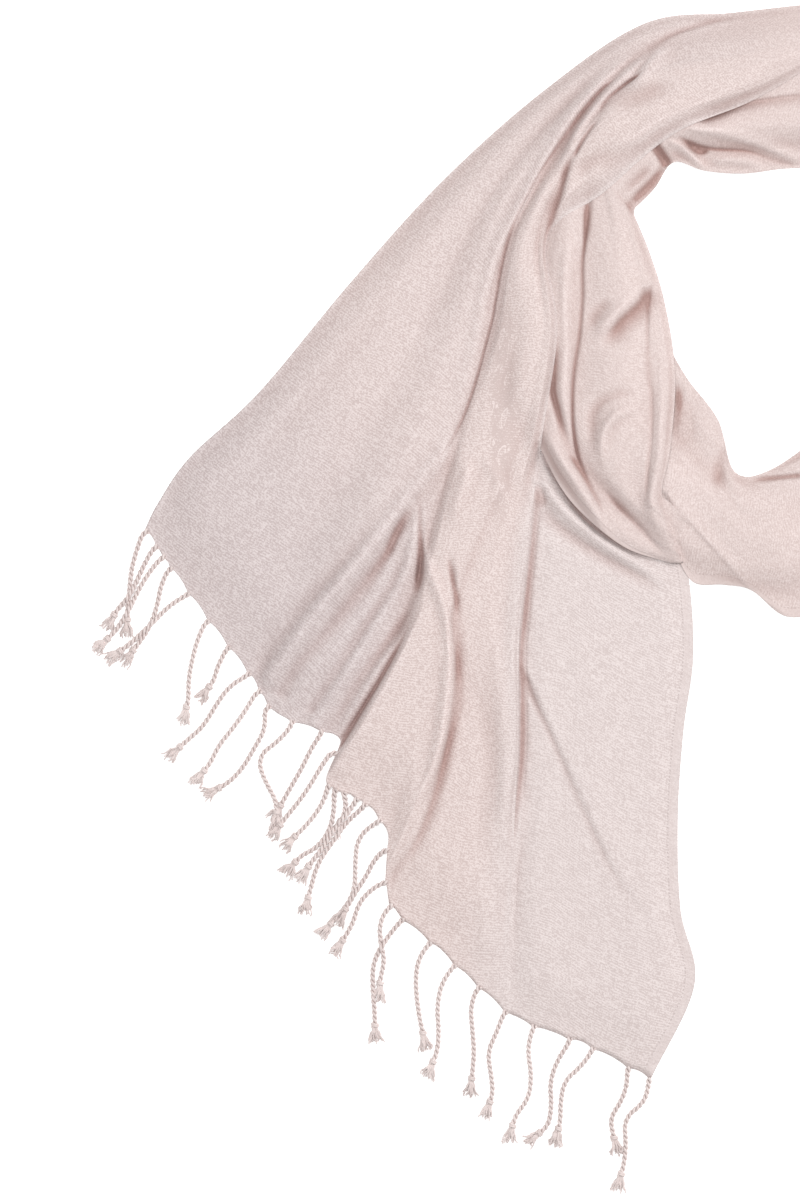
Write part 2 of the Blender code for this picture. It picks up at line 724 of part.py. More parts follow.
def strand_rings(path):
    """The middle, the sideways direction and the half width of a strand at each of its sections."""
    length = path[-1, 0]
    body = length - TUFT
    stops = [body * (k + 1) / STRAND_SECTIONS for k in range(STRAND_SECTIONS - 1)]
    stops += [body + TUFT * share for share, _ in TUFT_SECTION]
    rings = []
    for before, stop, after in zip([0, *stops], stops, [*stops[1:], length]):
        x, y, turn, half = (np.interp(stop, path[:, 0], path[:, k]) for k in range(1, 5))
        near = (path[:, 0] > before) & (path[:, 0] <= after)
        rings.append(((x, y, path[near, 5].max()), (-math.sin(turn), math.cos(turn)), half))
    return rings


def fringe(name, hem, strands):
    """The fringe as one body: a strip along the hem, and a strand drawn out of it at every root."""
    reach = reach_along(hem)
    roots = sorted((nearest_reach(hem, strand.x, strand.y), strand) for strand in strands)
    edge = STRAND / 2
    first, last = edge + STRIP_FOOT, reach[-1] - edge - STRIP_FOOT
    roots = [(min(max(at, first), last), strand) for at, strand in roots]
    stops = []
    for at, strand in roots:
        stops += [(at - edge, None), (at + edge, strand)]
    taken = np.array([stop for stop, _ in stops])
    for at in reach:
        inside = any(abs(root - at) < edge + STRIP_POINTS for root, _ in roots)
        if not inside and np.abs(taken - at).min() > STRIP_POINTS:
            stops.append((at, None))
    stops.sort(key=lambda stop: stop[0])
    normals = hem_normals(hem)
    points, faces = [], []
    outward = []
    for at, _ in stops:
        here = np.array([np.interp(at, reach, hem[:, k]) for k in range(3)])
        out = np.array([np.interp(at, reach, normals[:, k]) for k in range(2)])
        outward.append(out)
        for away, up in ((SEAM, -1), (SEAM, 1), (SEAM + STRIP, 1), (SEAM + STRIP, -1)):
            z = max(here[2] + up * WALL / 2, STRIP_FOOT)
            points.append((*(here[:2] + away * out), z))
    for k in range(1, len(stops)):
        a, b = 4 * (k - 1), 4 * k
        for side in range(4):
            if side == 2 and stops[k][1] is not None:
                continue
            here, there = side, (side + 1) % 4
            faces.append((a + here, b + here, b + there, a + there))
    faces.append((0, 1, 2, 3))
    last = 4 * (len(stops) - 1)
    faces.append((last + 3, last + 2, last + 1, last))
    laid = []
    for k in range(1, len(stops)):
        strand = stops[k][1]
        if strand is None:
            continue
        a, b = 4 * (k - 1), 4 * k
        ring = (a + 2, b + 2, b + 3, a + 3)
        start = np.mean([points[i] for i in ring], axis=0)
        path = strand_path(start, outward[k - 1] + outward[k], strand)
        path = np.column_stack([path, strand_heights(path, start, laid)])
        laid.append(path)
        for (x, y, z), sideways, half in strand_rings(path):
            fresh = len(points)
            for along, up in ((-half, 1), (half, 1), (half, -1), (-half, -1)):
                points.append((x + along * sideways[0], y + along * sideways[1], z + up * STRAND_DEPTH / 2))
            for side in range(4):
                here, there = side, (side + 1) % 4
                faces.append((ring[here], ring[there], fresh + there, fresh + here))
            ring = (fresh, fresh + 1, fresh + 2, fresh + 3)
        faces.append(ring)
    return make_object(name, points, [face[::-1] for face in faces])


def far_strands(hem):
    """The second fringe: even roots, each strand square to the hem and wandering a little."""
    reach = reach_along(hem)
    normals = hem_normals(hem)
    strands = []
    for k in range(FAR_STRANDS):
        at = reach[-1] * (k + 0.5) / FAR_STRANDS
        x, y = (np.interp(at, reach, hem[:, i]) for i in range(2))
        out = [np.interp(at, reach, normals[:, i]) for i in range(2)]
        square = math.degrees(math.atan2(out[1], out[0])) % 360
        sway = [FAR_STRAND_SWAY * math.sin(1.1 * part + 0.35 * k) * part / 5 for part in range(1, 6)]
        length = FAR_STRAND_LENGTH + 6 * math.sin(2.4 * k)
        strands.append(Strand(x, y, *[square + turn for turn in sway], length))
    return strands


def centre_on_table(solids):
    """Moves everything so that the origin is under the middle of the shawl's box."""
    points = np.array([vertex.co for solid in solids for vertex in solid.data.vertices])
    middle = (points.min(axis=0) + points.max(axis=0)) / 2
    shift = Vector((-middle[0], -middle[1], -points[:, 2].min()))
    for solid in solids:
        for vertex in solid.data.vertices:
            vertex.co += shift
    return shift


def main():
    clear_scene()
    layers = folded_layers("hidden_layers")

    crossing = loft(CROSSING, CROSSING_ROWS)
    tucked = loft(TUCKED, TUCKED_ROWS)
    for crease in TUCKED_CREASES:
        add_crease(tucked, crease)
    follow(tucked, 0, crossing[:, -1], SEAM + 0.1)
    tucked[..., 2] += WALL / 2
    end_tucked = cloth_wall("near_end_tucked", tucked)

    back = loft(BACK, BACK_ROWS)
    cut_straight(back, len(back) - 1, SEAM / 2)
    lay_on(back, [layers])
    loop_back = cloth_wall("loop_back", back)

    front = loft(FRONT, FRONT_ROWS)
    cut_straight(front, len(front) - 1, SEAM / 2)
    lay_on(front, [layers])
    loop_front = cloth_wall("loop_front", front)

    far = loft(FAR, FAR_ROWS)
    cut_straight(far, 0, SEAM)
    far[..., 2] += WALL / 2
    far_end = cloth_wall("far_end", far)

    left = loft(LEFT, LEFT_ROWS)
    cut_straight(left, 0, SEAM / 2)
    lay_on(left, [layers, end_tucked, loop_front])
    loop_left = cloth_wall("loop_left", left)

    right = loft(RIGHT, RIGHT_ROWS)
    cut_straight(right, 0, SEAM / 2)
    cut_straight(right, len(right) - 1, SEAM / 2)
    lay_on(right, [layers, loop_back, far_end])
    loop_right = cloth_wall("loop_right", right)

    cut_straight(crossing, 0, SEAM / 2)
    lay_on(crossing, [layers, loop_left, loop_back])
    end_crossing = cloth_wall("near_end_crossing", crossing)

    near_hem = np.concatenate([crossing[-1], tucked[-1, 1:]])
    near_fringe = fringe("near_fringe", near_hem, FRINGE)
    far_hem = far[-1, ::-1]
    far_fringe = fringe("far_fringe", far_hem, far_strands(far_hem))

    solids = [
        layers, end_tucked, loop_back, loop_front, far_end, loop_left, loop_right, end_crossing,
        near_fringe, far_fringe,
    ]
    shift = centre_on_table(solids)
    print("moved by", [round(c, 4) for c in shift])


main()
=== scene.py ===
# %% [markdown]
# # A pashmina shawl, looped once and laid flat
#
# The shawl is one fine cloth, 0.70 m wide and about 2 m long, with a knotted fringe at each end.
# One end is spread out and pleated, the rest is gathered into a loop for the neck, and the second
# end comes out on the far side. This notebook dresses the imported solids: each stretch of cloth is
# a thin shell of its own, with its creases given one by one, and each fringe is made of twisted yarns.
#
# First the imported frame is loaded; its solids stay in the scene. The dressed shawl has to stay in
# it.

# %% Load the frame
import math
from collections import namedtuple

import bpy
import numpy as np
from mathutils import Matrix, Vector


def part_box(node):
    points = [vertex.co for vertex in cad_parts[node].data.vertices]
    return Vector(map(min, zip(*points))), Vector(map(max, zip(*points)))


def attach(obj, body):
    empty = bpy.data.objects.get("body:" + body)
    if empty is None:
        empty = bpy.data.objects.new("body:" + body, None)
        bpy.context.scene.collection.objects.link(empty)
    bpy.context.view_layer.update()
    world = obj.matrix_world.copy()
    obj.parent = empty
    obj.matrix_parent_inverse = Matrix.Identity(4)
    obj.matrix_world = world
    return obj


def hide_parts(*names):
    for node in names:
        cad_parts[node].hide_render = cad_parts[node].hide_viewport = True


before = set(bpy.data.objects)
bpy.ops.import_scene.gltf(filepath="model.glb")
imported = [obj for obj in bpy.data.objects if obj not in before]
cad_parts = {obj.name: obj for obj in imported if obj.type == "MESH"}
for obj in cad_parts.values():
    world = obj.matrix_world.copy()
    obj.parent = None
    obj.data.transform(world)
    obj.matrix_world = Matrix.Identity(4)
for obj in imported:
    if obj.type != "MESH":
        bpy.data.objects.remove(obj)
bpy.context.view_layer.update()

MM = 0.001
print("packed nodes:", sorted(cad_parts))

# %% [markdown]
# The fold tables below are in plan millimetres: x to the right, y away from the corner where the
# fringed end and its left edge meet, z up from the table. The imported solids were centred, so the
# crossing end's box says how far the plan has to move to lie on them.

# %% Find the place of the plan
CROWN_X, CROWN_Y = 313, 431  # the crossing end's far corner in the plan
CROWN_SEAM = 0.15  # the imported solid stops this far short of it
low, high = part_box("near_end_crossing")
SHIFT = np.array([high.x / MM - (CROWN_X - CROWN_SEAM), high.y / MM - CROWN_Y])
print("plan moves by", SHIFT.round(2), "mm")

# %% [markdown]
# ## How a stretch of gathered cloth is drawn
#
# Gathered cloth could be simulated, but a simulation puts its folds where it likes. Here each
# stretch is lofted through named fold lines, which a maker would call the crowns and hollows of
# the pleats. Along a fold the curve passes smoothly through every station.

# %% A curve along a fold
Fold = namedtuple("Fold", "name columns lift plan")


def table(kind, *rows):
    """The rows of a table, each with its fields named."""
    return [kind(*row) for row in rows]


def through(points, at):
    """A smooth curve through the points, read at places counted in points."""
    points = np.asarray(points, float)
    last = len(points) - 1
    first = np.clip(np.floor(at).astype(int), 0, last - 1)
    t = (np.asarray(at) - first)[:, None]
    p1, p2 = points[first], points[first + 1]
    p0 = np.where((first == 0)[:, None], 2 * p1 - p2, points[np.maximum(first - 1, 0)])
    p3 = np.where((first == last - 1)[:, None], 2 * p2 - p1, points[np.minimum(first + 2, last)])
    slope1, slope2 = (p2 - p0) / 2, (p3 - p1) / 2
    rise = p2 - p1
    return p1 + slope1 * t + (3 * rise - 2 * slope1 - slope2) * t**2 + (slope1 + slope2 - 2 * rise) * t**3


def smoothstep(t):
    """An even rise from 0 to 1 with soft ends."""
    t = np.clip(t, 0, 1)
    return t * t * (3 - 2 * t)


print("a fold through 0, 4 and 0 mm is", through([[0], [4], [0]], [0.5]).item(), "mm high halfway up")

# %% [markdown]
# Across the folds the curve must never swing past a stated height, or a shallow crease beside a
# high crown would be dug deeper than it is given. A curve with limited slopes does that.

# %% A curve across the folds
def across(knots, values, at):
    """A curve through the values that never swings past them."""
    step = np.diff(knots)
    rate = np.diff(values, axis=0) / step[:, None]
    slope = np.zeros_like(values)
    same = rate[:-1] * rate[1:] > 0
    mean = 2 * rate[:-1] * rate[1:] / np.where(same, rate[:-1] + rate[1:], 1)
    slope[1:-1] = np.where(same, mean, 0)
    slope[0], slope[-1] = rate[0], rate[-1]
    k = np.clip(np.searchsorted(knots, at, side="right") - 1, 0, len(knots) - 2)
    h = step[k][:, None]
    t = ((at - knots[k]) / step[k])[:, None]
    a, b = values[k], values[k + 1]
    return (
        a * (1 + 2 * t) * (1 - t) ** 2
        + b * t**2 * (3 - 2 * t)
        + h * slope[k] * t * (1 - t) ** 2
        + h * slope[k + 1] * t**2 * (t - 1)
    )


# %% [markdown]
# Both curves together make a grid: rows run across the cloth, columns along its folds. The columns
# crowd towards the fold lines, where the cloth bends most.

# %% The grid of a stretch
CROWD = 0.5  # how strongly the columns crowd towards the fold lines
LEAST_STEP = 0.01  # keeps two fold lines apart where they meet


def stations(counts):
    """Where the rows lie, counted in stations, for the number of rows in each span."""
    return np.concatenate([*[np.arange(n) / n + k for k, n in enumerate(counts)], [len(counts)]])


def loft(folds, at):
    """The grid of a stretch: a row for each place in at, each point as x, y and lift.

    A fold's lift is stated for each station, or once where it lies flat all along.
    """
    lifts = [np.broadcast_to(fold.lift, len(fold.plan)) for fold in folds]
    lines = [through(np.column_stack([fold.plan, lift]), at) for fold, lift in zip(folds, lifts)]
    lines = np.array(lines)
    lines[:, :, 2] = np.maximum(lines[:, :, 2], 0)
    read_at = stations([fold.columns for fold in folds[:-1]])
    read_at = read_at - CROWD * np.sin(2 * math.pi * read_at) / (2 * math.pi)
    grid = []
    for row in range(len(at)):
        line = lines[:, row]
        reach = np.concatenate([[0], np.cumsum(np.hypot(*np.diff(line[:, :2], axis=0).T) + LEAST_STEP)])
        grid.append(across(reach, line, np.interp(read_at, np.arange(len(reach)), reach)))
    return np.array(grid)


def along_of(grid):
    """The distance along each column from the first row."""
    step = np.hypot(*np.moveaxis(np.diff(grid[..., :2], axis=0), -1, 0))
    return np.concatenate([np.zeros((1, grid.shape[1])), np.cumsum(step, axis=0)])


def across_of(line):
    """The distance along one row of points from its first."""
    return np.concatenate([[0], np.cumsum(np.hypot(*np.diff(line[:, :2], axis=0).T))])


print("rows for spans of 2 and 4:", stations([2, 4]).tolist())

# %% [markdown]
# Finer creases are laid over the loft. Each has its own route, height and width on either side of
# the route, so a wide left and a narrow right make the edge of a fold that lies over its
# neighbour, and a negative height makes a crease. None runs evenly: the height is stated point by
# point where it matters, and both ends fade out.

# %% Lay a crease over the cloth
# A crease runs on its route, or beside it on the left, and it has a width on either side.
Crease = namedtuple("Crease", "name lift left right fades route beside", defaults=[0])
ROUTE_STEP = 1.6  # a route is read about this often
FEWEST_READS = 12
WIDTHS_OUT = 3.2  # a crease has died out this many widths from its route
END_WIDTH = 3  # how softly it stops past its ends
BATCH = 6000  # points that are set against a route at one time


def lay_crease(grid, crease):
    """Adds one crease to the heights of a grid. Left and right are as seen along its route."""
    knots = np.asarray(crease.route, float)
    reads = int(np.hypot(*np.diff(knots, axis=0).T).sum() / ROUTE_STEP)
    at = np.linspace(0, len(knots) - 1, max(FEWEST_READS, reads))
    lift = np.atleast_1d(np.asarray(crease.lift, float))
    lifts = np.interp(np.linspace(0, 1, len(knots)), np.linspace(0, 1, len(lift)), lift)
    line = through(np.column_stack([knots, lifts]), at)
    run = np.gradient(line[:, :2], axis=0)
    run /= np.hypot(*run.T)[:, None]
    reach = across_of(line)
    margin = WIDTHS_OUT * max(crease.left, crease.right) + abs(crease.beside)
    points = grid[..., :2].reshape(-1, 2)
    low, high = line[:, :2].min(axis=0) - margin, line[:, :2].max(axis=0) + margin
    chosen = np.flatnonzero(((points > low) & (points < high)).all(axis=1))
    for part in np.array_split(chosen, max(1, len(chosen) // BATCH)):
        away = points[part, None] - line[None, :, :2]
        k = (away**2).sum(axis=2).argmin(axis=1)
        away = away[np.arange(len(part)), k]
        onward = (away * run[k]).sum(axis=1)
        aside = run[k, 0] * away[:, 1] - run[k, 1] * away[:, 0]
        at_end = (k == 0) & (onward < 0) | (k == len(line) - 1) & (onward > 0)
        share = np.clip((reach[k] + np.where(at_end, 0, onward)) / reach[-1], 0, 1)
        aside = aside - crease.beside
        width = np.where(aside > 0, crease.left, crease.right)
        far = np.where(at_end, onward, 0)
        ends = zip((share, 1 - share), crease.fades)
        fade = np.prod([smoothstep(s / max(f, 1e-3)) for s, f in ends], axis=0)
        lift = np.interp(share * reach[-1], reach, line[:, 2])
        grid.reshape(-1, 3)[part, 2] += lift * np.exp(-((aside / width) ** 2) - (far / END_WIDTH) ** 2) * fade


# %% [markdown]
# ## How one stretch lies on another
#
# The stretches are draped one after the other, from the table up. A map in plan keeps the height of
# everything laid so far, in small square cells.

# %% The height map
CELL = 2.0
MAP_LOW = np.array([-230.0, -380.0])
MAP_SIZE = (415, 460)  # cells up the plan and across it
FOUR = ((0, 1), (0, -1), (1, 0), (-1, 0))
EIGHT = (*FOUR, (1, 1), (1, -1), (-1, 1), (-1, -1))


def cells_of(points):
    return (points[..., :2] - MAP_LOW) / CELL


def map_of(grid):
    """The upper side of one stretch as a height map; cells that it leaves open are zero."""
    fine = grid
    for axis in (0, 1):
        fine = np.moveaxis(fine, axis, 0)
        middle = (fine[1:] + fine[:-1]) / 2
        woven = np.empty((len(fine) + len(middle), *fine.shape[1:]))
        woven[::2], woven[1::2] = fine, middle
        fine = np.moveaxis(woven, 0, axis)
    fine = fine.reshape(-1, fine.shape[2])
    cell = np.rint(cells_of(fine)).astype(int)
    inside = (cell >= 0).all(axis=1) & (cell < MAP_SIZE[::-1]).all(axis=1)
    height = np.zeros(MAP_SIZE)
    np.maximum.at(height, (cell[inside, 1], cell[inside, 0]), fine[inside, 2])
    return height


def read_map(height, points):
    """The map's height at plan points, between its cells."""
    top = np.array(MAP_SIZE[::-1]) - 1.001
    cell = np.clip(cells_of(points), 0, top)
    first = cell.astype(int)
    t = cell - first
    x, y = first[..., 0], first[..., 1]
    return (
        height[y, x] * (1 - t[..., 0]) * (1 - t[..., 1])
        + height[y, x + 1] * t[..., 0] * (1 - t[..., 1])
        + height[y + 1, x] * (1 - t[..., 0]) * t[..., 1]
        + height[y + 1, x + 1] * t[..., 0] * t[..., 1]
    )


def highest(maps):
    """The highest of several maps. No map at all is the bare table."""
    return np.max([np.zeros(MAP_SIZE), *maps], axis=0)


def shifted(height, turns):
    """The map moved by one cell each way, as a list."""
    padded = np.pad(height, 1, mode="edge")
    rows, columns = height.shape
    return [padded[1 + dy : 1 + dy + rows, 1 + dx : 1 + dx + columns] for dy, dx in turns]


def softened(height, times, least=0):
    """The map, averaged with its neighbours again and again, but never below the least."""
    for _ in range(times):
        height = np.maximum(least, (height + np.mean(shifted(height, FOUR), axis=0)) / 2)
    return height


print("the map covers", [round(size * CELL) for size in MAP_SIZE[::-1]], "mm")

# %% [markdown]
# Cloth bridges the foot of a step, so the map is spread a little, and then softened from above
# only, as a membrane would settle. The creases come after that, and none of them goes deeper than
# what lies underneath.

# %% The drape
THICK = 0.6  # thickness of the shell that the render shows
GAP = 0.3  # free height kept between two stretches
CREASE_GAP = 0.2  # what is left of it at the bottom of a crease
SPREAD, SETTLE, SOFTEN = 2, 36, 3  # rounds of spreading, settling and softening
# Creases wider than this add less painted shade to the cloth's colour.
SHARP = 2.0  # creases wider than this darken the cloth less


def drape(grid, maps):
    """Turns the lifts of a grid into heights above the table, over what lies under it."""
    need = highest(maps)
    need = np.where(need > 0, need + GAP, 0)
    for _ in range(SPREAD):
        need = np.max([need, *shifted(need, EIGHT)], axis=0)
    height = softened(softened(need, SETTLE, need), SOFTEN)
    grid[..., 2] = np.maximum(grid[..., 2], 0) + read_map(height, grid) + THICK


def finish_folds(grid, creases, maps):
    """Lays the creases on a draped grid, none of them deeper than what lies underneath.

    Gives back how deep the creases alone would cut, which later paints shade into the cloth in them.
    """
    cut = grid.copy()
    cut[..., 2] = 0
    for crease in creases:
        lay_crease(grid, crease)
        if np.max(crease.lift) < 0:
            sharp = min(1, SHARP / max(crease.left, crease.right)) ** 0.5
            lay_crease(cut, crease._replace(lift=np.multiply(crease.lift, sharp)))
    top = highest(maps)
    top = np.max([top, *shifted(top, FOUR)], axis=0)
    grid[..., 2] = np.maximum(grid[..., 2], read_map(np.where(top > 0, top + CREASE_GAP, 0), grid) + THICK)
    return -cut[..., 2]


# %% [markdown]
# Where stretches meet, their heights have to agree: a free edge comes down on the cloth below it,
# the plan of one follows the other's last row, and the heights are evened out across the join.

# %% Edges and joins
EASE_ROUNDS = 60
WELD_ROWS = 14


def puff(grid, height, side, end):
    """Raises the middle of a grid and leaves its borders where they are."""
    reach = np.stack([across_of(row) for row in grid])
    sides = smoothstep(np.minimum(reach, reach[:, -1:] - reach) / side)
    run = along_of(grid)
    grid[..., 2] += height * sides * smoothstep((run[-1:] - run) / end)


def rest_edge(grid, maps, rows, columns, free):
    """Lets the right-hand columns of a grid come down on the cloth underneath, free above it."""
    near = smoothstep(1 - np.arange(grid.shape[1])[::-1] / columns)[None, :]
    share = np.interp(np.arange(len(grid)), *np.transpose(rows))[:, None]
    below = read_map(highest(maps), grid)
    target = np.where(below > 0, below + free, THICK)
    grid[..., 2] += (target - grid[..., 2]) * near * share


def weld(grid, row, rows=WELD_ROWS):
    """Moves the first rows of a grid so that it starts on another stretch's last row."""
    gap = row - grid[0, :, : row.shape[1]]
    for k in range(rows):
        grid[k, :, : row.shape[1]] += gap * smoothstep(1 - k / rows)


def ease_weld(grids, rows):
    """Smooths the heights along the columns on either side of the row where two stretches meet."""
    both = np.concatenate([grids[0], grids[1][1:]])
    at = len(grids[0]) - 1
    share = smoothstep(1 - np.abs(np.arange(len(both)) - at) / rows)[1:-1, None]
    for _ in range(EASE_ROUNDS):
        both[1:-1, :, 2] += ((both[2:, :, 2] + both[:-2, :, 2]) / 2 - both[1:-1, :, 2]) * share
    grids[0][..., 2], grids[1][..., 2] = both[: at + 1, :, 2], both[at:, :, 2]


# %% [markdown]
# ## From a grid to a piece
#
# A shell is closed: an upper side, an underside a thread's thickness below it, and a rim. The
# underside has every second row and column only, since nobody sees its finest creases, and it keeps
# to the lowest point near by, so it never comes through the upper side. Grids that share a seam
# share its points.

# %% Points and faces of a shell
def numbered(grids):
    """All points of the grids, with one number for each place, so that shared seams are joined."""
    points = np.concatenate([grid.reshape(-1, grid.shape[2]) for grid in grids])
    _, first, index = np.unique(points[:, :3].round(4), axis=0, return_index=True, return_inverse=True)
    index = index.reshape(-1)
    numbers, start = [], 0
    for grid in grids:
        count = grid.shape[0] * grid.shape[1]
        numbers.append(index[start : start + count].reshape(grid.shape[:2]))
        start += count
    return points[first], numbers


def quads(number, up):
    """The faces between the points of a numbered grid, as lists of corners."""
    faces = np.stack([number[:-1, :-1], number[1:, :-1], number[1:, 1:], number[:-1, 1:]], axis=-1)
    faces = faces.reshape(-1, 4)
    return (faces if up else faces[:, ::-1]).tolist()


def whole_rim(grid):
    """The border of a single grid, down the first column and back up the last."""
    rows, columns = grid.shape[:2]
    return (
        [(0, r, 0) for r in range(rows)]
        + [(0, rows - 1, c) for c in range(1, columns)]
        + [(0, r, columns - 1) for r in range(rows - 2, -1, -1)]
        + [(0, 0, c) for c in range(columns - 2, 0, -1)]
    )


def run_upwards(grids):
    """Whether faces in the grids' own order point up."""
    area = 0.0
    for grid in grids:
        a, b = grid[1:, :-1, :2] - grid[:-1, :-1, :2], grid[:-1, 1:, :2] - grid[:-1, :-1, :2]
        area += (a[..., 0] * b[..., 1] - a[..., 1] * b[..., 0]).sum()
    return area > 0


def lowest_near(height):
    """The lowest of each point and its eight neighbours in a grid."""
    return np.min([height, *shifted(height, EIGHT)], axis=0)


# %% [markdown]
# The closed shell becomes a mesh. Each point's place on the flat cloth goes into a UV map, which
# the weave follows, and its distances from the edge and the hem become attributes.

# %% Close a shell
def bare_object(name, points, edges, faces):
    """A new object of points in plan millimetres, at the origin, with its place in its mesh."""
    place = points[:, :3] * MM
    place[:, :2] += SHIFT * MM
    mesh = bpy.data.meshes.new(name)
    mesh.from_pydata(place.tolist(), edges, faces)
    piece = bpy.data.objects.new(name, mesh)
    bpy.context.scene.collection.objects.link(piece)
    return piece


def add_attribute(mesh, name, values):
    mesh.attributes.new(name, "FLOAT", "POINT").data.foreach_set("value", np.array(values, np.float32))


def make_shell(name, grids, rim, solid=False):
    """The closed mesh of one stretch. Extra channels of the grids become the map and attributes."""
    points, numbers = numbered(grids)
    low = np.full(len(points), np.inf)
    for grid, number in zip(grids, numbers):
        np.minimum.at(low, number.ravel(), lowest_near(grid[..., 2]).ravel())
    sparse = np.unique(np.concatenate([number[::2, ::2].ravel() for number in numbers]))
    below = np.full(len(points), -1)
    below[sparse] = len(points) + np.arange(len(sparse))
    bottom = points[sparse].copy()
    bottom[:, 2] = np.where(solid, 0, np.maximum(low - THICK, 0))[sparse]
    everything = np.concatenate([points, bottom])

    up = run_upwards(grids)
    faces = []
    for number in numbers:
        faces += quads(number, up) + quads(below[number[::2, ::2]], not up)
    loop = [numbers[g][r, c] for g, r, c in rim]
    loop = loop if up else [loop[0], *loop[:0:-1]]
    loop.append(loop[0])
    for k in range(0, len(loop) - 1, 2):
        a, b, c = loop[k : k + 3]
        faces += [(b, a, below[a]), (b, below[a], below[c]), (c, b, below[c])]

    piece = bare_object(name, everything, [], faces)
    mesh = piece.data
    mesh.validate()
    mesh.shade_smooth()
    corner = np.empty(len(mesh.loops), int)
    mesh.loops.foreach_get("vertex_index", corner)
    weave = mesh.uv_layers.new(name="weave")
    weave.data.foreach_set("uv", (everything[corner, 3:5] * MM).astype(np.float32).ravel())
    for channel, attribute in enumerate(("edge", "hem", "hollow"), start=5):
        add_attribute(mesh, attribute, everything[:, channel])
    print(name, "has", len(points), "points above and", len(bottom), "below")
    return piece


# %% [markdown]
# The weave has to follow the cloth, so every point also gets its place on the flat cloth: how far
# along its fold it lies, and which warp thread runs through it. Three more values travel with it:
# the distance from the side edge, the distance from the hem, and how hollow the cloth is there,
# which sets the shade and highlight painted into its colour.

# %% Give every point its place on the flat cloth
# The hollow channel, together with the creases' cut, sets painted shade in the creases and hollows, and below
# zero a painted highlight on the crowns.
HOLLOW = 7  # the last of a grid's channels
CUT_SHADE = 0.6  # how much a crease counts as hollow, for its depth
HOLLOW_ROUNDS = 26  # how far round a point the cloth's mean height is taken
INNER, INNER_SPAN = 0.62, 0.3  # near an open edge there is no hollow


def hollow_of(grid):
    """How far each point lies below the mean of the cloth round it, in millimetres."""
    height = map_of(grid)
    weight = softened((height > 0).astype(float), HOLLOW_ROUNDS)
    level = softened(height, HOLLOW_ROUNDS) / np.maximum(weight, 1e-6)
    inner = smoothstep((read_map(weight, grid) - INNER) / INNER_SPAN)
    return (read_map(level, grid) - grid[..., 2]) * inner


def with_places(grid, along, warp, edge, hem, cut=0.0):
    """The grid with its channels: x, y, z, along, warp thread, edge, hem and hollow."""
    shape = grid.shape[:2]
    rest = [np.broadcast_to(channel, shape) for channel in (along, warp, edge, hem)]
    return np.dstack([grid[..., :3], *rest, hollow_of(grid) + cut * CUT_SHADE])


# %% [markdown]
# Real cloth is never quite smooth between its folds. A slow ripple is added to each stretch: long
# along the folds and short across them, from a coarse table of random numbers with a fixed seed.

# %% Ripple the cloth a little
RIPPLES = 64  # size of the random table


def ripple(grid, seed, wide, long, height):
    numbers = np.random.default_rng(seed).normal(size=(RIPPLES, RIPPLES))
    last = RIPPLES - 4
    row, column = along_of(grid) / long % last, np.stack([across_of(line) for line in grid]) / wide % last
    r, c = row.astype(int), column.astype(int)
    s, t = smoothstep(row - r), smoothstep(column - c)
    low_side = numbers[r, c] * (1 - t) + numbers[r, c + 1] * t
    high_side = numbers[r + 1, c] * (1 - t) + numbers[r + 1, c + 1] * t
    grid[..., 2] += height * (low_side * (1 - s) + high_side * s)


# %% [markdown]
# ## The folded layers inside the loop
#
# The gathered loop holds many layers that nobody sees. They are one low rounded bundle, stepped at
# its edges as a pile of cloth is, and it carries the stretches that show.

# %% The hidden bundle
BUNDLE = (  # x, y and half width along its middle
    (345, 357, 26), (290, 362, 30), (238, 358, 30), (188, 347, 22), (154, 309, 22), (140, 262, 28),
    (138, 209, 34), (142, 158, 36), (156, 112, 28), (184, 82, 22), (222, 56, 26), (262, 42, 28),
    (300, 52, 30),
)
# The share of the half width, and the height of each layer's edge.
BUNDLE_SECTION = (
    (1.00, 1.0), (0.97, 2.2), (0.92, 2.9), (0.84, 3.1), (0.80, 5.0), (0.76, 5.7), (0.64, 6.0), (0.60, 7.4),
    (0.54, 8.0), (0.3, 8.5), (0.0, 8.8),
)
BUNDLE_ROWS = 10  # rows to each span of its middle
BUNDLE_FOOT = 0.8  # height of the lowest edge
BUNDLE_WARP = 30  # width of cloth on either side of its middle
BUNDLE_TAPER = 0.25  # share of its height at both ends
BUNDLE_SLACK = 0.6  # stretches arch over the bundle, and their creases dip down to this share of it

bundle_at = stations([BUNDLE_ROWS] * (len(BUNDLE) - 1))
middle = through(BUNDLE, bundle_at)
run = np.gradient(middle[:, :2], axis=0)
square = np.column_stack([-run[:, 1], run[:, 0]]) / np.hypot(*run.T)[:, None]
section = [(-share, height) for share, height in BUNDLE_SECTION]
section += [(share, height) for share, height in BUNDLE_SECTION[-2::-1]]
bundle = np.zeros((len(bundle_at), len(section), 3))
for column, (share, height) in enumerate(section):
    bundle[:, column, :2] = middle[:, :2] + square * (middle[:, 2] * share)[:, None]
    bundle[:, column, 2] = height
taper = BUNDLE_TAPER + (1 - BUNDLE_TAPER) * smoothstep(np.minimum(bundle_at, bundle_at[::-1]))
bundle[..., 2] = BUNDLE_FOOT + (bundle[..., 2] - BUNDLE_FOOT) * taper[:, None]
bundle_map = map_of(bundle)
bundle[..., 2] *= BUNDLE_SLACK
low_bundle_map = map_of(bundle)
FAR_IN = 60  # this far from an edge or a hem, the finish is the plain cloth's
bundle_warp = np.abs([share for share, _ in section]) * BUNDLE_WARP
bundle = with_places(bundle, along_of(bundle), bundle_warp, FAR_IN, FAR_IN)
hidden = make_shell("folded_layers", [bundle], whole_rim(bundle), solid=True)

# %% [markdown]
# Every stretch is laid in the same four steps: its middle is puffed up, it gets its ripple, it is
# draped over what lies below, and its creases are laid on it. It arches over the bundle, but its
# creases may sink into it, because the layers inside give way.

# %% Lay one stretch
Puff = namedtuple("Puff", "height side end")
Ripple = namedtuple("Ripple", "seed wide long height")


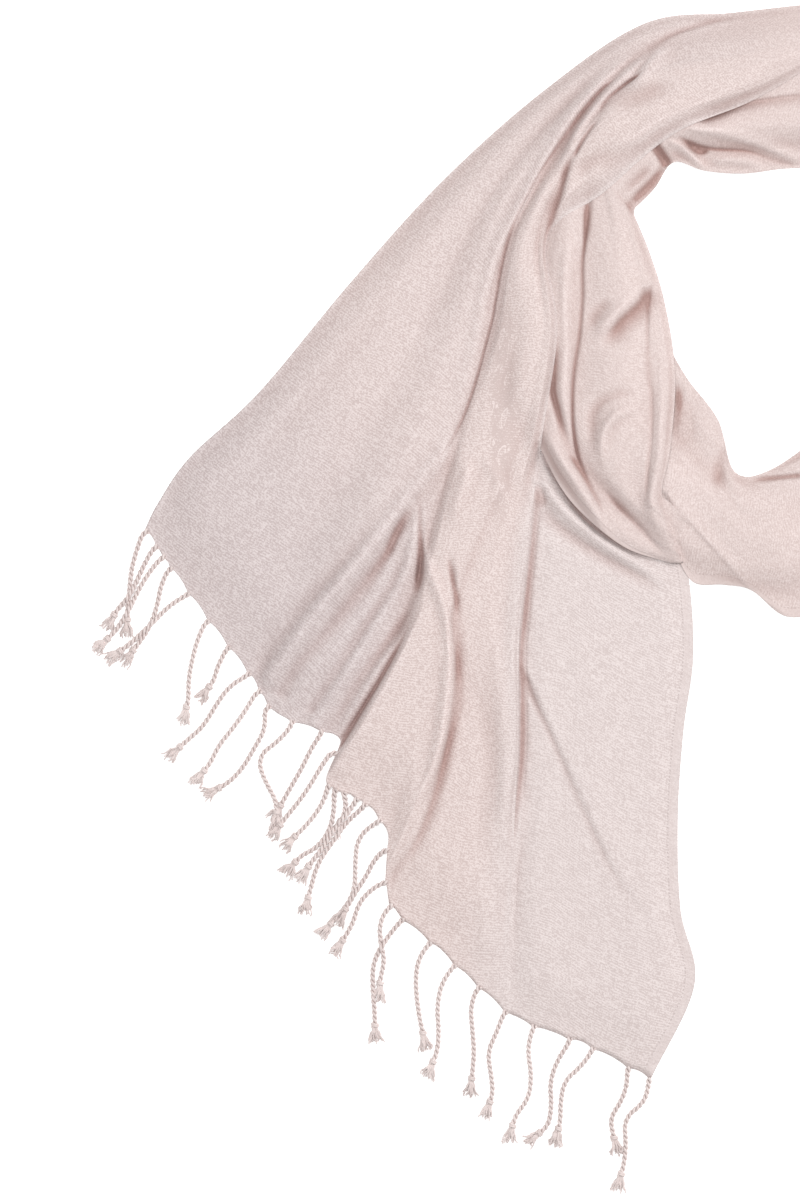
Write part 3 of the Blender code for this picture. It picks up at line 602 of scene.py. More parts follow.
def lay(grid, creases, puffed, rippled, over=(), on_bundle=True):
    """Turns a lofted grid into cloth that lies on the maps, and gives back its creases' cut."""
    puff(grid, *puffed)
    ripple(grid, *rippled)
    drape(grid, [bundle_map, *over] if on_bundle else over)
    return finish_folds(grid, creases, [low_bundle_map, *over] if on_bundle else over)


# %% [markdown]
# ## The end that is spread out
#
# This is the stretch one looks at most. From the crown of the loop it comes down to the left, opens
# like a fan in broad pleats, and ends in a scalloped hem. Its right side is tucked under the loop,
# so it is drawn as two grids: one crosses the loop, one passes under it, and below the slit between
# them they share a seam line, point by point.

# %% Fold lines of the end that crosses the loop
# Stations run from the crown of the loop to the hem.
CROSSING_ROWS = (16, 16, 22, 26, 30, 32, 40, 42, 50)
CROSSING = table(
    Fold,
    ("outer edge", 30, 0, ((313, 431), (241, 423), (176, 415), (104, 367), (31, 302), (-36, 228),
        (-101, 150), (-151, 103), (-174, 70), (-184, 50))),
    ("left roll", 30, (4, 4.5, 5, 5.5, 5, 4.5, 4, 3, 2, 0.6), ((313, 425), (243, 414), (179, 406),
        (109, 358), (47, 294), (-6, 218), (-61, 142), (-112, 68), (-133, 27), (-147, -4))),
    ("left hollow", 20, (5, 5, 4.6, 4.5, 4, 2.5, 1.2, 0, 0, 0), ((313, 420), (244, 405), (180, 397),
        (113, 351), (60, 287), (20, 210), (-25, 135), (-72, 40), (-92, -9), (-108, -56))),
    ("first fold", 14, (5, 5, 5.4, 7, 8, 8, 7.5, 5.5, 3.5, 1), ((313, 415), (245, 399), (181, 389),
        (116, 343), (72, 280), (45, 203), (14, 127), (-40, 20), (-63, -32), (-89, -84))),
    ("first crease", 16, (5, 5, 5, 5.6, 6, 6, 5, 1, 1, 0.5), ((313, 412), (246, 393), (181, 380),
        (120, 335), (84, 274), (64, 198), (38, 122), (-19, 6), (-47, -42), (-77, -89))),
    ("pleat shadow", 14, (5, 5, 5, 5.4, 5.6, 5.6, 4.6, 0, 0, 0), ((313, 410), (246, 390), (182, 377),
        (123, 333), (86, 274), (68, 197), (42, 121), (6, -1), (-17, -58), (-44, -104))),
    ("pleat left edge", 20, (5, 5.2, 5.2, 5.6, 6.4, 6.6, 7, 7, 6, 4.5), ((313, 408), (247, 387), (183, 373),
        (126, 332), (89, 273), (73, 196), (48, 120), (14, -4), (-10, -61), (-54, -130))),
    ("pleat crown", 18, (5, 5.4, 5.4, 6, 7, 8, 8.4, 8, 7, 5), ((313, 405), (248, 384), (184, 369),
        (129, 331), (92, 271), (82, 195), (59, 117), (23, -4), (9, -68), (-25, -148))),
    ("pleat shoulder", 12, (5, 5.6, 5.6, 5.8, 6, 7, 8.4, 8, 7.5, 5), ((313, 403), (248, 382), (185, 366),
        (132, 331), (95, 270), (90, 194), (71, 116), (30, -4), (24, -75), (-9, -174))),
    ("pleat right edge", 12, (5, 5.6, 5.6, 5, 4, 5.4, 7, 8, 7.5, 5), ((313, 402), (249, 379), (186, 364),
        (134, 331), (98, 269), (96, 194), (80, 115), (35, -5), (35, -81), (-11, -196))),
    ("second crease", 24, (4.6, 5.4, 5.6, 5, 1.5, 3.2, 5.4, 4, 0.8, 0), ((313, 400), (250, 376), (186, 361),
        (137, 331), (101, 266), (103, 194), (87, 115), (41, -5), (42, -84), (-10, -213))),
    ("middle fold", 24, (3.6, 4.6, 5.2, 5.4, 2, 3, 5, 4, 2.5, 1), ((313, 397), (253, 367), (192, 347),
        (143, 311), (104, 264), (108, 194), (95, 115), (65, -3), (63, -104), (29, -254))),
    ("right edge", 0, (1.5, 1.5, 1.2, 0.8, 0.6, 0.8, 1.2, 5, 4.6, 0), ((313, 395), (256, 360), (196, 334),
        (147, 293), (107, 261), (113, 194), (102, 115), (87, 0), (84, -122), (75, -297))),
)

# %% [markdown]
# The tucked side is nearly flat: its folds are low swells, and only its edge along the seam stands
# up, where the crossing side rolls over it.

# %% Fold lines of the side that is tucked under the loop
# Stations run from the tuck to the hem.
TUCKED_ROWS_ABOVE = 14
TUCKED = table(
    Fold,
    ("seam edge", 12, (1, 4, 6, 5.5, 5, 3, 1, 0), ((102, 109), (94, 43), (86, -14), (85, -72), (84, -130),
        (78, -202), (76, -252), (75, -297))),
    ("seam foot", 18, (0, 0.5, 0.5, 0.5, 0, 0, 0, 0), ((108, 107), (99, 41), (91, -16), (91, -75),
        (90, -132), (84, -204), (81, -255), (81, -301))),
    ("near field", 18, (0, 0, 0, 0, 0, 0, 0.5, 0), ((119, 96), (122, 32), (119, -29), (117, -82),
        (115, -140), (109, -209), (107, -261), (106, -312))),
    ("middle field", 18, (0, 0, 0.5, 1, 0.5, 0, 0, 0), ((137, 73), (148, 20), (148, -37), (144, -88),
        (143, -146), (140, -214), (138, -270), (132, -321))),
    ("far field", 18, (0, 0, 0, 0, 0.5, 1, 1, 0.5), ((162, 52), (176, 10), (180, -43), (174, -92),
        (171, -153), (171, -218), (173, -281), (157, -334))),
    ("selvedge", 0, 0, ((203, 37), (209, 7), (211, -43), (204, -95), (200, -158), (202, -223), (212, -277),
        (180, -346))),
)

# %% [markdown]
# The creases of the crossing end follow in the order in which they lie, from the crown of the loop
# to the hem. Where the cloth rolls over itself, a lip has its slot close beside it, and the broad
# pleats on the left end in shallow valleys that run out at the hem.

# %% Finer creases of the crossing end
CROSSING_CREASES = table(
    Crease,
    ("outer line", (-1.5, -2.2, -1.5), 1.8, 3, (0.3, 0.4), ((245.5, 421.2), (203, 409), (183.6, 398.9),
        (172.8, 388.8))),
    ("edge hollow", -1.8, 14, 14, (0.3, 0.4), ((14.4, 243.4), (-20.2, 201.6), (-60.5, 149.8),
        (-96.5, 105.1), (-122.4, 69.1))),
    ("grey band", 1.6, 16, 16, (0.3, 0.4), ((28.8, 223.2), (0, 180), (-38.9, 126.7), (-77.8, 74.9),
        (-108, 31.7))),
    ("first lip", (1.8, 4.0, 4.8, 4.6, 4.0, 3.2, 2.4, 2.0, 1.6), 2.4, 6, (0.15, 0.3), ((183.6, 404.6),
        (157.7, 386.6), (136.1, 365), (118.1, 341.3), (103, 316.8), (87.8, 286.6), (74.2, 262.1),
        (65.5, 238.3), (59, 213.8), (54.7, 187.2), (40.3, 136.8), (18.7, 93.6)), 1.2),
    ("first slot", (-1.0, -2.2, -2.8, -2.2, -1.0), 0.9, 0.9, (0.3, 0.4), ((159.8, 378.7), (145.4, 367.2),
        (134.6, 355), (126, 344.2), (116.6, 329.8))),
    ("first line", (-2, -1.8, -1.6, -1.6, -1.6, -1.6, -1.6, -1.4), 0.9, 1.0, (0.15, 0.2), ((126, 344.2),
        (119.5, 334.8), (103, 311), (87.8, 283.7), (78.5, 262.1), (72.7, 238.3), (68.4, 213.8),
        (64.8, 195.8), (46.8, 134.6), (19.4, 85))),
    ("ridge between", (1.8, 4.0, 4.0, 3.0), 2.6, 2.4, (0.3, 0.3), ((187.2, 398.9), (172.8, 386.6),
        (148.3, 363.6), (130.3, 341.3), (122.4, 326.2), (112.3, 305.3))),
    ("second slot", (-2.4, -5, -3, -1.6, -2.4, -1.2), 1.0, 1.1, (0.2, 0.3), ((175.7, 381.6), (168.5, 374.4),
        (162, 370.1), (149.8, 360.7), (144.7, 352.8), (142.6, 344.2))),
    ("second line", (-2, -2.4, -3, -3), 1.4, 1.4, (0.3, 0.2), ((144, 347), (134.6, 334.8), (128.9, 326.2),
        (123.8, 315.4))),
    ("second valley", (-1.6, -4.0, -3.0, -2.0, -1.8, -1.6, -1.6, -1.8, -1.4), 1.8, 2.6, (0.15, 0.25),
        ((125.3, 325.4), (120.2, 311), (113.8, 286.6), (106.6, 265), (105.1, 244.1), (108.7, 226.1),
        (111.6, 207.4), (112.3, 187.2), (107.3, 162.7))),
    ("valley slope", (-1, -2.4, -2, -1), 4, 4, (0.3, 0.3), ((116.6, 302.4), (110.2, 283.7), (107.3, 259.2),
        (108, 230.4))),
    ("band shoulder", (1.2, 2.8, 3.4, 3.2, 2.4, 1.2), 9, 5, (0.25, 0.3), ((109.4, 312.5), (92.9, 282.2),
        (82.8, 256.3), (77.8, 229), (74.2, 201.6), (65.5, 165.6), (51.8, 129.6))),
    ("band crown", (1.6, 3.0, 2.6, 1.4), 6, 6, (0.25, 0.4), ((112.3, 309.6), (101.5, 285.8), (94.3, 262.1),
        (90.7, 243.4))),
    ("flap gleam", (3.0, 5.0, 3.0), 7, 2.4, (0.3, 0.3), ((194.4, 400.3), (183.6, 390.2), (172.8, 377.3),
        (162.7, 364.3))),
    ("flap hollow", (-1.6, -3.6, -3.4, -1.6), 9, 8, (0.35, 0.4), ((144, 345.6), (159.8, 357.1),
        (178.6, 364.3), (204.5, 373))),
    ("flap ridge", (2.4, 4.0, 3.4, 3.2, 2.6), 6, 5, (0.3, 0.3), ((139.7, 326.9), (157.7, 328.3),
        (171.4, 331.2), (185, 340.6), (215.3, 354.2), (239.8, 365.8), (270, 381.6))),
    ("lower flap hollow", (-2.4, -3.6, -3.4, -1.6), 8, 8, (0.35, 0.4), ((118.1, 295.2), (132.5, 309.6),
        (148.3, 316.8), (168.5, 322.6))),
    ("long roll", (1.6, 3.4, 4.2, 4.2, 4.0, 3.6, 3.2), 5, 6, (0.15, 0.05), ((43.2, 129.6), (31, 105.8),
        (15.1, 85.7), (2.9, 69.8), (-8.6, 54), (-24.5, 33.8), (-44.6, 10.1), (-64.1, -13.7), (-84.2, -41.8),
        (-99.4, -64.8))),
    ("outer valley", (-0.6, -1.2, -1.2, -0.8, -0.4), 5, 11, (0.3, 0.1), ((-10.1, 74.9), (-36.7, 33.8),
        (-57.6, 10.1), (-74.9, -11.5), (-95, -40.3), (-110.9, -64.8))),
    ("rolled slot", (-1.4, -4.4, -4.6, -3.4, -2.0), 3.4, 3.4, (0.35, 0.5), ((10.1, 73.4), (2.9, 59),
        (-3.6, 46.1), (-8.6, 34.6), (-18.7, 20.2), (-28.8, 5.8))),
    ("inner valley", (-2.2, -2.8, -2.4, -2.0, -1.6), 6, 5, (0.2, 0.04), ((-7.2, 34.6), (-20.9, 16.6),
        (-36.7, -2.9), (-52.6, -23), (-72.7, -47.5), (-87.8, -72))),
    ("light ridge one", (0.6, 1.2, 1.0, 0.6), 3.4, 3.4, (0.3, 0.04), ((-7.2, 18.7), (-20.2, 1.4),
        (-43.2, -30.2), (-63.4, -54.7), (-77.8, -76.3))),
    ("valley two", (-1.4, -2.0, -1.4, -1.0), 5, 4, (0.25, 0.04), ((3.6, 46.1), (-2.9, 15.8), (-19.4, -11.5),
        (-39.6, -43.2), (-66.2, -83.5))),
    ("light ridge two", (1.6, 3.0, 3.0, 2.8, 2.2), 3.8, 4.2, (0.2, 0.04), ((13, 69.8), (9.4, 41.8),
        (2.9, 18), (-13, -9.4), (-32.4, -41.8), (-54, -76.3), (-64.8, -95))),
    ("mauve slot", (-1.4, -3, -5.5, -5.5, -2.4), 2.2, 2.4, (0.3, 0.3), ((15.8, 82.1), (14.4, 58.3),
        (15.1, 30.2), (13.7, 13), (10.1, -2.9))),
    ("mauve valley", (-2.0, -2.0, -1.6, -1.2), 3.4, 3.0, (0.25, 0.04), ((10.1, 0), (-8.6, -29.5),
        (-28.8, -57.6), (-51.8, -95))),
    ("light ridge three", (1.2, 2.0, 1.8, 1.2), 3, 3, (0.3, 0.15), ((8.6, -15.8), (-5, -33.1),
        (-24.5, -64.1), (-49, -105.1))),
    ("box pleat edge", (0.8, 1.8, 2.4, 2.6, 2.4, 2.0, 1.6), 14, 2.2, (0.3, 0.08), ((17.3, 28.8), (17.3, 0),
        (11.5, -17.3), (-0.7, -41.8), (-13, -61.2), (-25.9, -83.5), (-40.3, -106.6), (-53.3, -129.6))),
    ("box pleat shadow", (-1.6, -2.4, -2.8, -3.0, -2.8, -2.0), 1.0, 1.4, (0.3, 0.2), ((13, -8.6),
        (-0.7, -36), (-13, -59), (-25.9, -80.6), (-38.9, -102.2), (-49, -119.5)), -1.6),
    ("pleat lip", (1.5, 3.0, 3.4, 3.4, 3.0, 2.6, 3.0, 3.0, 3.0, 2.0), 2.6, 5, (0.1, 0.1), ((17.3, 85.7),
        (15.1, 58.3), (17.3, 33.8), (25.2, 14.4), (31, -1.4), (35.3, -21.6), (36.7, -37.4), (35.3, -49.7),
        (31, -89.3), (23, -128.9), (10.8, -164.9), (-8.6, -200.9))),
    ("pleat lip slot", (-1.2, -3.6, -3.8, -1.6), 2.3, 1.8, (0.45, 0.45), ((33.1, 38.9), (36, 24.5),
        (39.6, 4.3), (42.5, -18.7))),
    ("pleat lip shadow", (-1.6, -2.2, -2.2, -2.2, -2.0, -1.6), 4.0, 2.0, (0.2, 0.2), ((41, -9.4),
        (40.3, -37.4), (37.4, -69.1), (33.1, -101.5), (27.4, -128.9), (15.1, -164.9), (-3.6, -199.4)), 1.6),
    ("upper pleat swell", (1.5, 3.0, 3.0, 1.5), 5, 6, (0.3, 0.3), ((40.3, 108), (47.5, 92.2), (43.2, 74.9),
        (36, 50.4))),
    ("pleat swirl", (1.2, 2.0, 1.4), 4, 5, (0.3, 0.3), ((56.2, 106.6), (67.7, 92.2), (72.7, 80.6),
        (69.8, 66.2))),
    ("seam ridge", (1.6, 2.8, 3.6, 3.8, 3.6, 3.2, 2.0), 1.8, 8, (0.15, 0.25), ((96.5, 93.6), (91.4, 43.2),
        (85, -2.2), (82.1, -36.7), (82.8, -64.8), (82.8, -111.6), (79.2, -142.6), (76.3, -189.4),
        (74.2, -219.6)), -0.5),
    ("middle valley", (-0.8, -1.6, -1.6, -1.4, -1.4, -1.0), 9, 10, (0.35, 0.3), ((43.2, -36), (54.7, -61.2),
        (62.6, -92.9), (65.5, -128.9), (61.9, -164.9), (64.8, -200.9), (69.1, -237.6))),
    ("middle ridge", (1.4, 2.4, 2.4, 1.6), 6, 6, (0.3, 0.3), ((63.4, 7.2), (70.6, -50.4), (74.2, -93.6),
        (74.2, -136.8), (70.6, -180))),
)

# %% [markdown]
# The tucked side comes out from under the loop with two rolls, and one long diagonal fold runs
# from the seam towards the lower corner.

# %% Finer creases of the tucked side
DIAGONAL = (  # from the seam to the lower corner
    (85, -39.6), (95, -65.5), (110.9, -100.8), (126.7, -136.8), (142.6, -172.8), (157, -200.9),
    (176.4, -226.8), (195.8, -253.4),
)
TUCKED_CREASES = table(
    Crease,
    ("seam shadow", (-2.6, -4.4, -7, -7.6, -7.6, -6.6, -3.6), 2.4, 1.6, (0.05, 0.25), ((97.9, 82.1),
        (93.6, 39.6), (89.3, -2.2), (85.7, -36.7), (86.4, -72), (85.7, -115.2), (81.4, -158.4),
        (77.8, -201.6)), 1.5),
    ("under the roll", (-1.4, -2.2, -2.2, -1.6, -1.0), 1.4, 1.4, (0.15, 0.3), ((100.1, 116.6),
        (105.8, 98.6), (117.4, 79.9), (132.5, 59.8), (151.2, 44.6), (167.8, 35.3), (190.8, 25.9))),
    ("second roll", (1.6, 3.6, 4.2, 4.0, 3.6, 3.0, 2.0), 3.6, 5.0, (0.12, 0.25), ((99.4, 100.1),
        (108, 79.2), (123.1, 61.2), (141.1, 46.1), (159.1, 33.8), (180.7, 21.6), (192.2, 15.8)), -0.6),
    ("second roll shadow", (-1.2, -2.0, -1.8, -1.6, -1.4, -1.0), 3, 6, (0.15, 0.3), ((100.8, 70.6),
        (112.3, 57.6), (129.6, 43.9), (148.3, 32.4), (168.5, 21.6), (188.6, 9.4), (201.6, 3.6)), -2.0),
    ("dark corner", (-3, -7, -3), 4, 4, (0.3, 0.3), ((96.5, 85), (98.6, 74.9), (102.2, 64.8))),
    ("diagonal fold", (0.8, 1.4, 1.5, 1.4, 1.2, 1.0, 0.6), 16, 5.0, (0.1, 0.35), DIAGONAL, 3.4),
    ("diagonal shadow", (-4.4, -2.2, -1.0, -0.9, -0.9, -0.8, -0.5), 1.8, 2.6, (0.05, 0.4), DIAGONAL, -0.8),
)

# %% [markdown]
# The hem is scalloped: between two strands of the fringe the cloth shrinks back a little, and at
# each strand it is drawn out to a point. The strands' roots are needed for that, so the fringe is
# listed here: each strand's root, its heading over each fifth of its length, and its length.

# %% The strands of the near fringe
Strand = namedtuple("Strand", "x y first second third fourth fifth length")
FRINGE = table(
    Strand,
    (-184, 48, 250, 255, 265, 265, 270, 79),
    (-177, 37, 240, 245, 245, 225, 250, 71),
    (-171, 30, 230, 240, 245, 235, 220, 85),
    (-165, 23, 245, 260, 250, 235, 230, 79),
    (-153, 4, 210, 225, 225, 220, 215, 77),
    (-138, -15, 245, 255, 260, 270, 250, 78),
    (-126, -36, 240, 245, 255, 235, 220, 45),
    (-109, -53, 210, 235, 240, 220, 225, 86),
    (-102, -66, 240, 235, 230, 245, 225, 83),
    (-98, -79, 275, 240, 240, 225, 200, 84),
    (-78, -89, 230, 215, 290, 300, 260, 89),
    (-60, -103, 235, 245, 240, 240, 245, 74),
    (-53, -107, 235, 240, 235, 230, 235, 80),
    (-51, -132, 255, 240, 230, 225, 225, 58),
    (-46, -135, 272, 258, 234, 205, 245, 77),
    (-40, -136, 285, 268, 250, 235, 230, 35),
    (-33, -147, 235, 230, 240, 230, 240, 73),
    (-26, -148, 220, 235, 235, 255, 255, 93),
    (-14, -158, 215, 265, 270, 235, 225, 100),
    (-9, -180, 225, 245, 235, 240, 235, 66),
    (-10, -203, 210, 230, 255, 240, 235, 67),
    (-5, -218, 235, 270, 285, 255, 270, 72),
    (4, -228, 230, 240, 270, 275, 270, 96),
    (22, -246, 235, 265, 275, 280, 285, 81),
    (38, -265, 235, 260, 275, 265, 240, 86),
    (53, -283, 250, 275, 275, 265, 265, 80),
    (75, -298, 250, 245, 280, 275, 240, 80),
    (96, -308, 255, 280, 265, 230, 265, 88),
    (122, -317, 235, 250, 275, 260, 200, 86),
    (139, -323, 235, 220, 260, 270, 250, 78),
    (164, -338, 270, 250, 235, 280, 290, 66),
    (179, -346, 260, 215, 275, 265, 250, 87),
)


def reach_of(line, points):
    """How far along a plan line the nearest place to each point lies, and how far off it is."""
    fine = through(line[:, :2], np.linspace(0, len(line) - 1, 8 * len(line)))
    reach = across_of(fine)
    apart = np.hypot(points[:, None, 0] - fine[None, :, 0], points[:, None, 1] - fine[None, :, 1])
    k = apart.argmin(axis=1)
    return reach[k] * across_of(line)[-1] / reach[-1], apart[np.arange(len(points)), k]


lengths = sorted(strand.length for strand in FRINGE)
print(len(FRINGE), "strands from", lengths[0], "to", lengths[-1], "mm long")

# %% [markdown]
# Between two roots the hem swings back in a shallow arc, and the rows behind it follow less and
# less.

# %% Scallop the hem
SCALLOP = 2.6  # deepest retreat of the hem between two strands
SCALLOP_WIDE = 14  # strands closer than this leave a shallower one
SCALLOP_ROUND = 0.7  # below 1 it is blunter than a parabola
SCALLOP_ROWS = 14  # rows behind the hem that follow it
PAST_LAST = 12  # from the last root to the end of the arc past it


def scallop(grid, at, roots):
    """Draws the last rows back between the roots, which are given along the whole hem."""
    stops = np.concatenate([[roots[0] - PAST_LAST], roots, [roots[-1] + PAST_LAST]])
    k = np.clip(np.searchsorted(stops, at) - 1, 0, len(stops) - 2)
    width = np.maximum(stops[k + 1] - stops[k], 1)
    t = np.clip((at - stops[k]) / width, 0, 1)
    depth = SCALLOP * np.minimum(width / SCALLOP_WIDE, 1) * (4 * t * (1 - t)) ** SCALLOP_ROUND
    for back in range(SCALLOP_ROWS):
        inward = grid[-2 - back, :, :2] - grid[-1 - back, :, :2]
        size = np.maximum(np.hypot(*inward.T), 1e-6)[:, None]
        pull = depth * (1 - smoothstep(back / SCALLOP_ROWS))
        most = 0.9 * size[:, 0] * (SCALLOP_ROWS - back)
        grid[-1 - back, :, :2] += inward / size * np.minimum(pull, most)[:, None]


# %% [markdown]
# The two grids are lofted and joined along the seam. Below the slit the tucked side takes its rows
# and its edge from the crossing side's last column. Above it, it reaches in under the other side.

# %% Loft the two sides and join them along the seam
SLIT_Y = 86  # how far up the slit between the two sides begins
JOINED = 20  # columns over which the tucked side takes on the seam's place
UNDERLAP = 9.0  # how far the tucked side reaches under the crossing side, above the slit's end
EDGE_READS = 2000

crossing = loft(CROSSING, stations(CROSSING_ROWS))
seam_line = crossing[:, -1]
SLIT = 2 * int(np.abs(seam_line[::2, 1] - SLIT_Y).argmin())
edge_at = np.linspace(0, len(TUCKED[0].plan) - 1, EDGE_READS)
edge_y = through(TUCKED[0].plan, edge_at)[:, 1]
below_at = np.interp(-seam_line[SLIT:, 1], -edge_y, edge_at)
above_at = np.linspace(0, below_at[0], TUCKED_ROWS_ABOVE + 1)[:-1]
tucked = loft(TUCKED, np.concatenate([above_at, below_at]))
joined = smoothstep(1 - np.arange(tucked.shape[1]) / JOINED)
first_row = TUCKED_ROWS_ABOVE
tucked[first_row:, :, :2] += (seam_line[SLIT:, None, :2] - tucked[first_row:, :1, :2]) * joined[:, None]
for k in range(first_row):
    edge_x = np.interp(-tucked[k, 0, 1], -seam_line[:, 1], seam_line[:, 0])
    edge_x -= UNDERLAP * smoothstep(2 - 2 * k / first_row)
    tucked[k, :, 0] += (edge_x - tucked[k, 0, 0]) * joined
print("the slit ends at row", SLIT, "of", len(crossing))

# %% [markdown]
# One hem runs through both grids, so the roots are found along the whole of it before either grid
# is scalloped.

# %% Draw the hem back between the roots
hem_line = np.concatenate([crossing[-1, :, :2], tucked[-1, 1:, :2]])
hem_reach = across_of(hem_line)
root_reach, _ = reach_of(hem_line, np.array([(strand.x, strand.y) for strand in FRINGE], float))
root_reach = np.sort(root_reach)
scallop(crossing, hem_reach[: crossing.shape[1]], root_reach)
scallop(tucked, hem_reach[crossing.shape[1] - 1 :], root_reach)
tucked[first_row:, 0, :2] = crossing[SLIT:, -1, :2]
print("hem", round(hem_reach[-1]), "mm along")

# %% [markdown]
# The tucked side lies on the table, so it comes first of all. The crossing side lies on the bundle,
# the loop's left side, the loop's back and the tucked cloth beside the slit, so it has to wait.

# %% Lay the tucked side
tucked_cut = lay(tucked, TUCKED_CREASES, Puff(2.6, 22, 40), Ripple(5, 18, 60, 0.2), on_bundle=False)
tucked_map = map_of(tucked)
beside_slit_map = map_of(tucked[: first_row + 1])
print("the tucked side is", tucked[..., 2].max().round(1), "mm high")

# %% [markdown]
# ## The loop and the far end
#
# The loop's back, its left side and the far end are one stretch, and so are its front and its
# right side. They pass over and under each other like two hands, so they are draped in turn.

# %% Fold lines of the back
BACK_ROWS = (24, 22, 20, 22, 16, 16)
BACK = table(
    Fold,
    ("outer edge", 20, 0, ((364, 400), (288, 414), (245, 407), (212, 402), (173, 382), (144, 354),
        (122, 328))),
    ("outer fold", 20, (4, 5, 5, 5, 5, 4, 4), ((364, 380), (288, 390), (243, 383), (213, 377), (177, 366),
        (152, 341), (132, 318))),
    ("upper crease", 20, (1, 1.5, 1, 2, 3, 3, 2), ((364, 361), (288, 362), (243, 357), (214, 354),
        (182, 349), (159, 329), (141, 308))),
    ("leaf fold", 18, (4, 5, 6, 6, 5, 4, 4), ((364, 344), (288, 342), (243, 340), (215, 338), (187, 336),
        (167, 316), (150, 298))),
    ("leaf crease", 18, (2, 1, 0, 0, 1, 2, 3), ((364, 325), (288, 324), (245, 323), (216, 323), (192, 325),
        (175, 305), (158, 289))),
    ("neck edge", 0, (0, 1, 2, 2, 2, 1, 1), ((364, 308), (288, 311), (248, 307), (219, 309), (197, 315),
        (183, 296), (167, 280))),
)

# %% Fold lines of the left side
LEFT_ROWS = (24, 20, 20, 20, 16, 16, 14)
LEFT = table(
    Fold,
    ("outer edge", 16, (0, 0, 0, 0, 1, 1, 1, 0.5), ((122, 328), (91, 263), (83, 209), (82, 155), (102, 107),
        (123.1, 70.6), (159.8, 38.9), (195.1, 26.6))),
    ("outer fold", 16, (4, 5, 6, 6, 6, 4.5, 2.5, 1), ((132, 318), (112, 259), (109, 210), (107, 156),
        (114, 107), (135, 77), (167.0, 42.5), (201.6, 26.6))),
    ("long crease", 16, (2, 1, 1, 1, 1.5, 2, 2, 1), ((141, 308), (133, 257), (131, 212), (125, 156),
        (127, 107), (148, 78), (175.7, 48.2), (208.8, 27.4))),
    ("broad fold", 16, (4, 5, 6, 6, 5.5, 4.5, 2.6, 1), ((149, 300), (153, 254), (156, 212), (155, 156),
        (153, 105), (162, 74), (182.9, 54.0), (214.6, 31.0))),
    ("roll crease", 16, (4, 5, 5, 4, 3.4, 3, 2.2, 1), ((156, 292), (168, 252), (176, 212), (181, 156),
        (180, 105), (174, 72), (188.6, 59.0), (218.9, 35.3))),
    ("roll", 16, (3.4, 4.2, 4.6, 5, 5, 4.4, 2.4, 1), ((162, 286), (175, 251), (184, 212), (190, 157),
        (187, 107), (180, 71), (192.2, 64.1), (221.0, 39.6))),
    ("neck edge", 0, (1, 0.5, 0.5, 1, 2, 2, 1.4, 0.6), ((167, 280), (180, 249), (191, 212), (198, 161),
        (194, 108), (187.9, 77.8), (195.1, 69.1), (221.8, 43.9))),
)

# %% Fold lines of the front
FRONT_ROWS = (16, 20, 20, 24, 24)
FRONT = table(
    Fold,
    ("neck edge", 18, 0, ((190.1, 188.6), (206.6, 159.8), (229.0, 129.6), (241.2, 92.2), (267.8, 94.3),
        (313.2, 126.0))),
    ("neck fold", 18, (1, 2, 2.5, 3, 4, 4), ((184, 133), (204, 135), (226, 111), (243, 79), (269, 81),
        (314, 107))),
    ("flat", 18, (1, 1, 1, 1, 1, 1.5), ((179, 104), (204, 108), (225, 89), (246, 63), (271, 63),
        (315, 81))),
    ("low fold", 22, (1, 2, 2, 2, 3, 4), ((180, 82), (204, 78), (226, 66), (248, 45), (274, 41),
        (315, 52))),
    ("hollow", 22, (0.5, 1, 1, 1, 1, 2), ((188, 61), (207, 47), (230, 39), (252, 26), (276, 16),
        (315, 23))),
    ("outer edge", 0, 0, ((197, 36), (211, 13), (233, 11), (253, 7), (279, -12), (315, -6))),
)

# %% Fold lines of the right side
RIGHT_ROWS = (34, 34, 34, 34, 34, 34)
RIGHT = table(
    Fold,
    ("neck edge", 24, (0, 0, 0, 0, 0, 1, 1), ((313, 126), (364, 151), (391, 202), (396, 259), (383, 313),
        (353, 371), (313, 395))),
    ("inner fold", 24, (4, 5, 6, 6, 6, 5, 5), ((314, 94), (374, 122), (412, 184), (421, 256), (405, 328),
        (364, 385), (313, 405))),
    ("crease", 25, (1.5, 2, 2, 1, 2, 3, 4), ((315, 61), (385, 94), (434, 166), (446, 252), (426, 342),
        (374, 397), (313, 413))),
    ("outer fold", 25, (4, 5, 6, 6, 6, 5, 5), ((315, 29), (395, 63), (455, 144), (469, 243), (446, 356),
        (385, 408), (313, 422))),
    ("outer edge", 0, 0, ((315, -6), (403, 30), (477, 119), (494, 234), (468, 373), (396, 418),
        (313, 431))),
)

# %% Fold lines of the far end
FAR_ROWS = (30, 30, 30, 30)
FAR = table(
    Fold,
    ("outer edge", 20, 0, ((364, 400), (439, 382), (518, 313), (587, 202), (641, 94))),
    ("first fold", 20, (4, 4, 4, 5, 4), ((364, 380), (431, 359), (500, 289), (559, 179), (601, 66))),
    ("first crease", 20, (1, 1, 0, 0, 0), ((364, 361), (424, 336), (481, 265), (529, 156), (562, 42))),
    ("second fold", 18, (4, 4, 4, 4, 3), ((364, 344), (417, 313), (462, 241), (498, 134), (518, 16))),
    ("second crease", 18, (2, 1, 0, 0, 0), ((364, 325), (410, 289), (444, 217), (464, 112), (475, -10))),
    ("inner edge", 0, 0, ((364, 308), (403, 266), (425, 194), (432, 90), (434, -36))),
)

# %% [markdown]
# The back shows two leaves of cloth with a dark gap between them, and curls in at the neck.

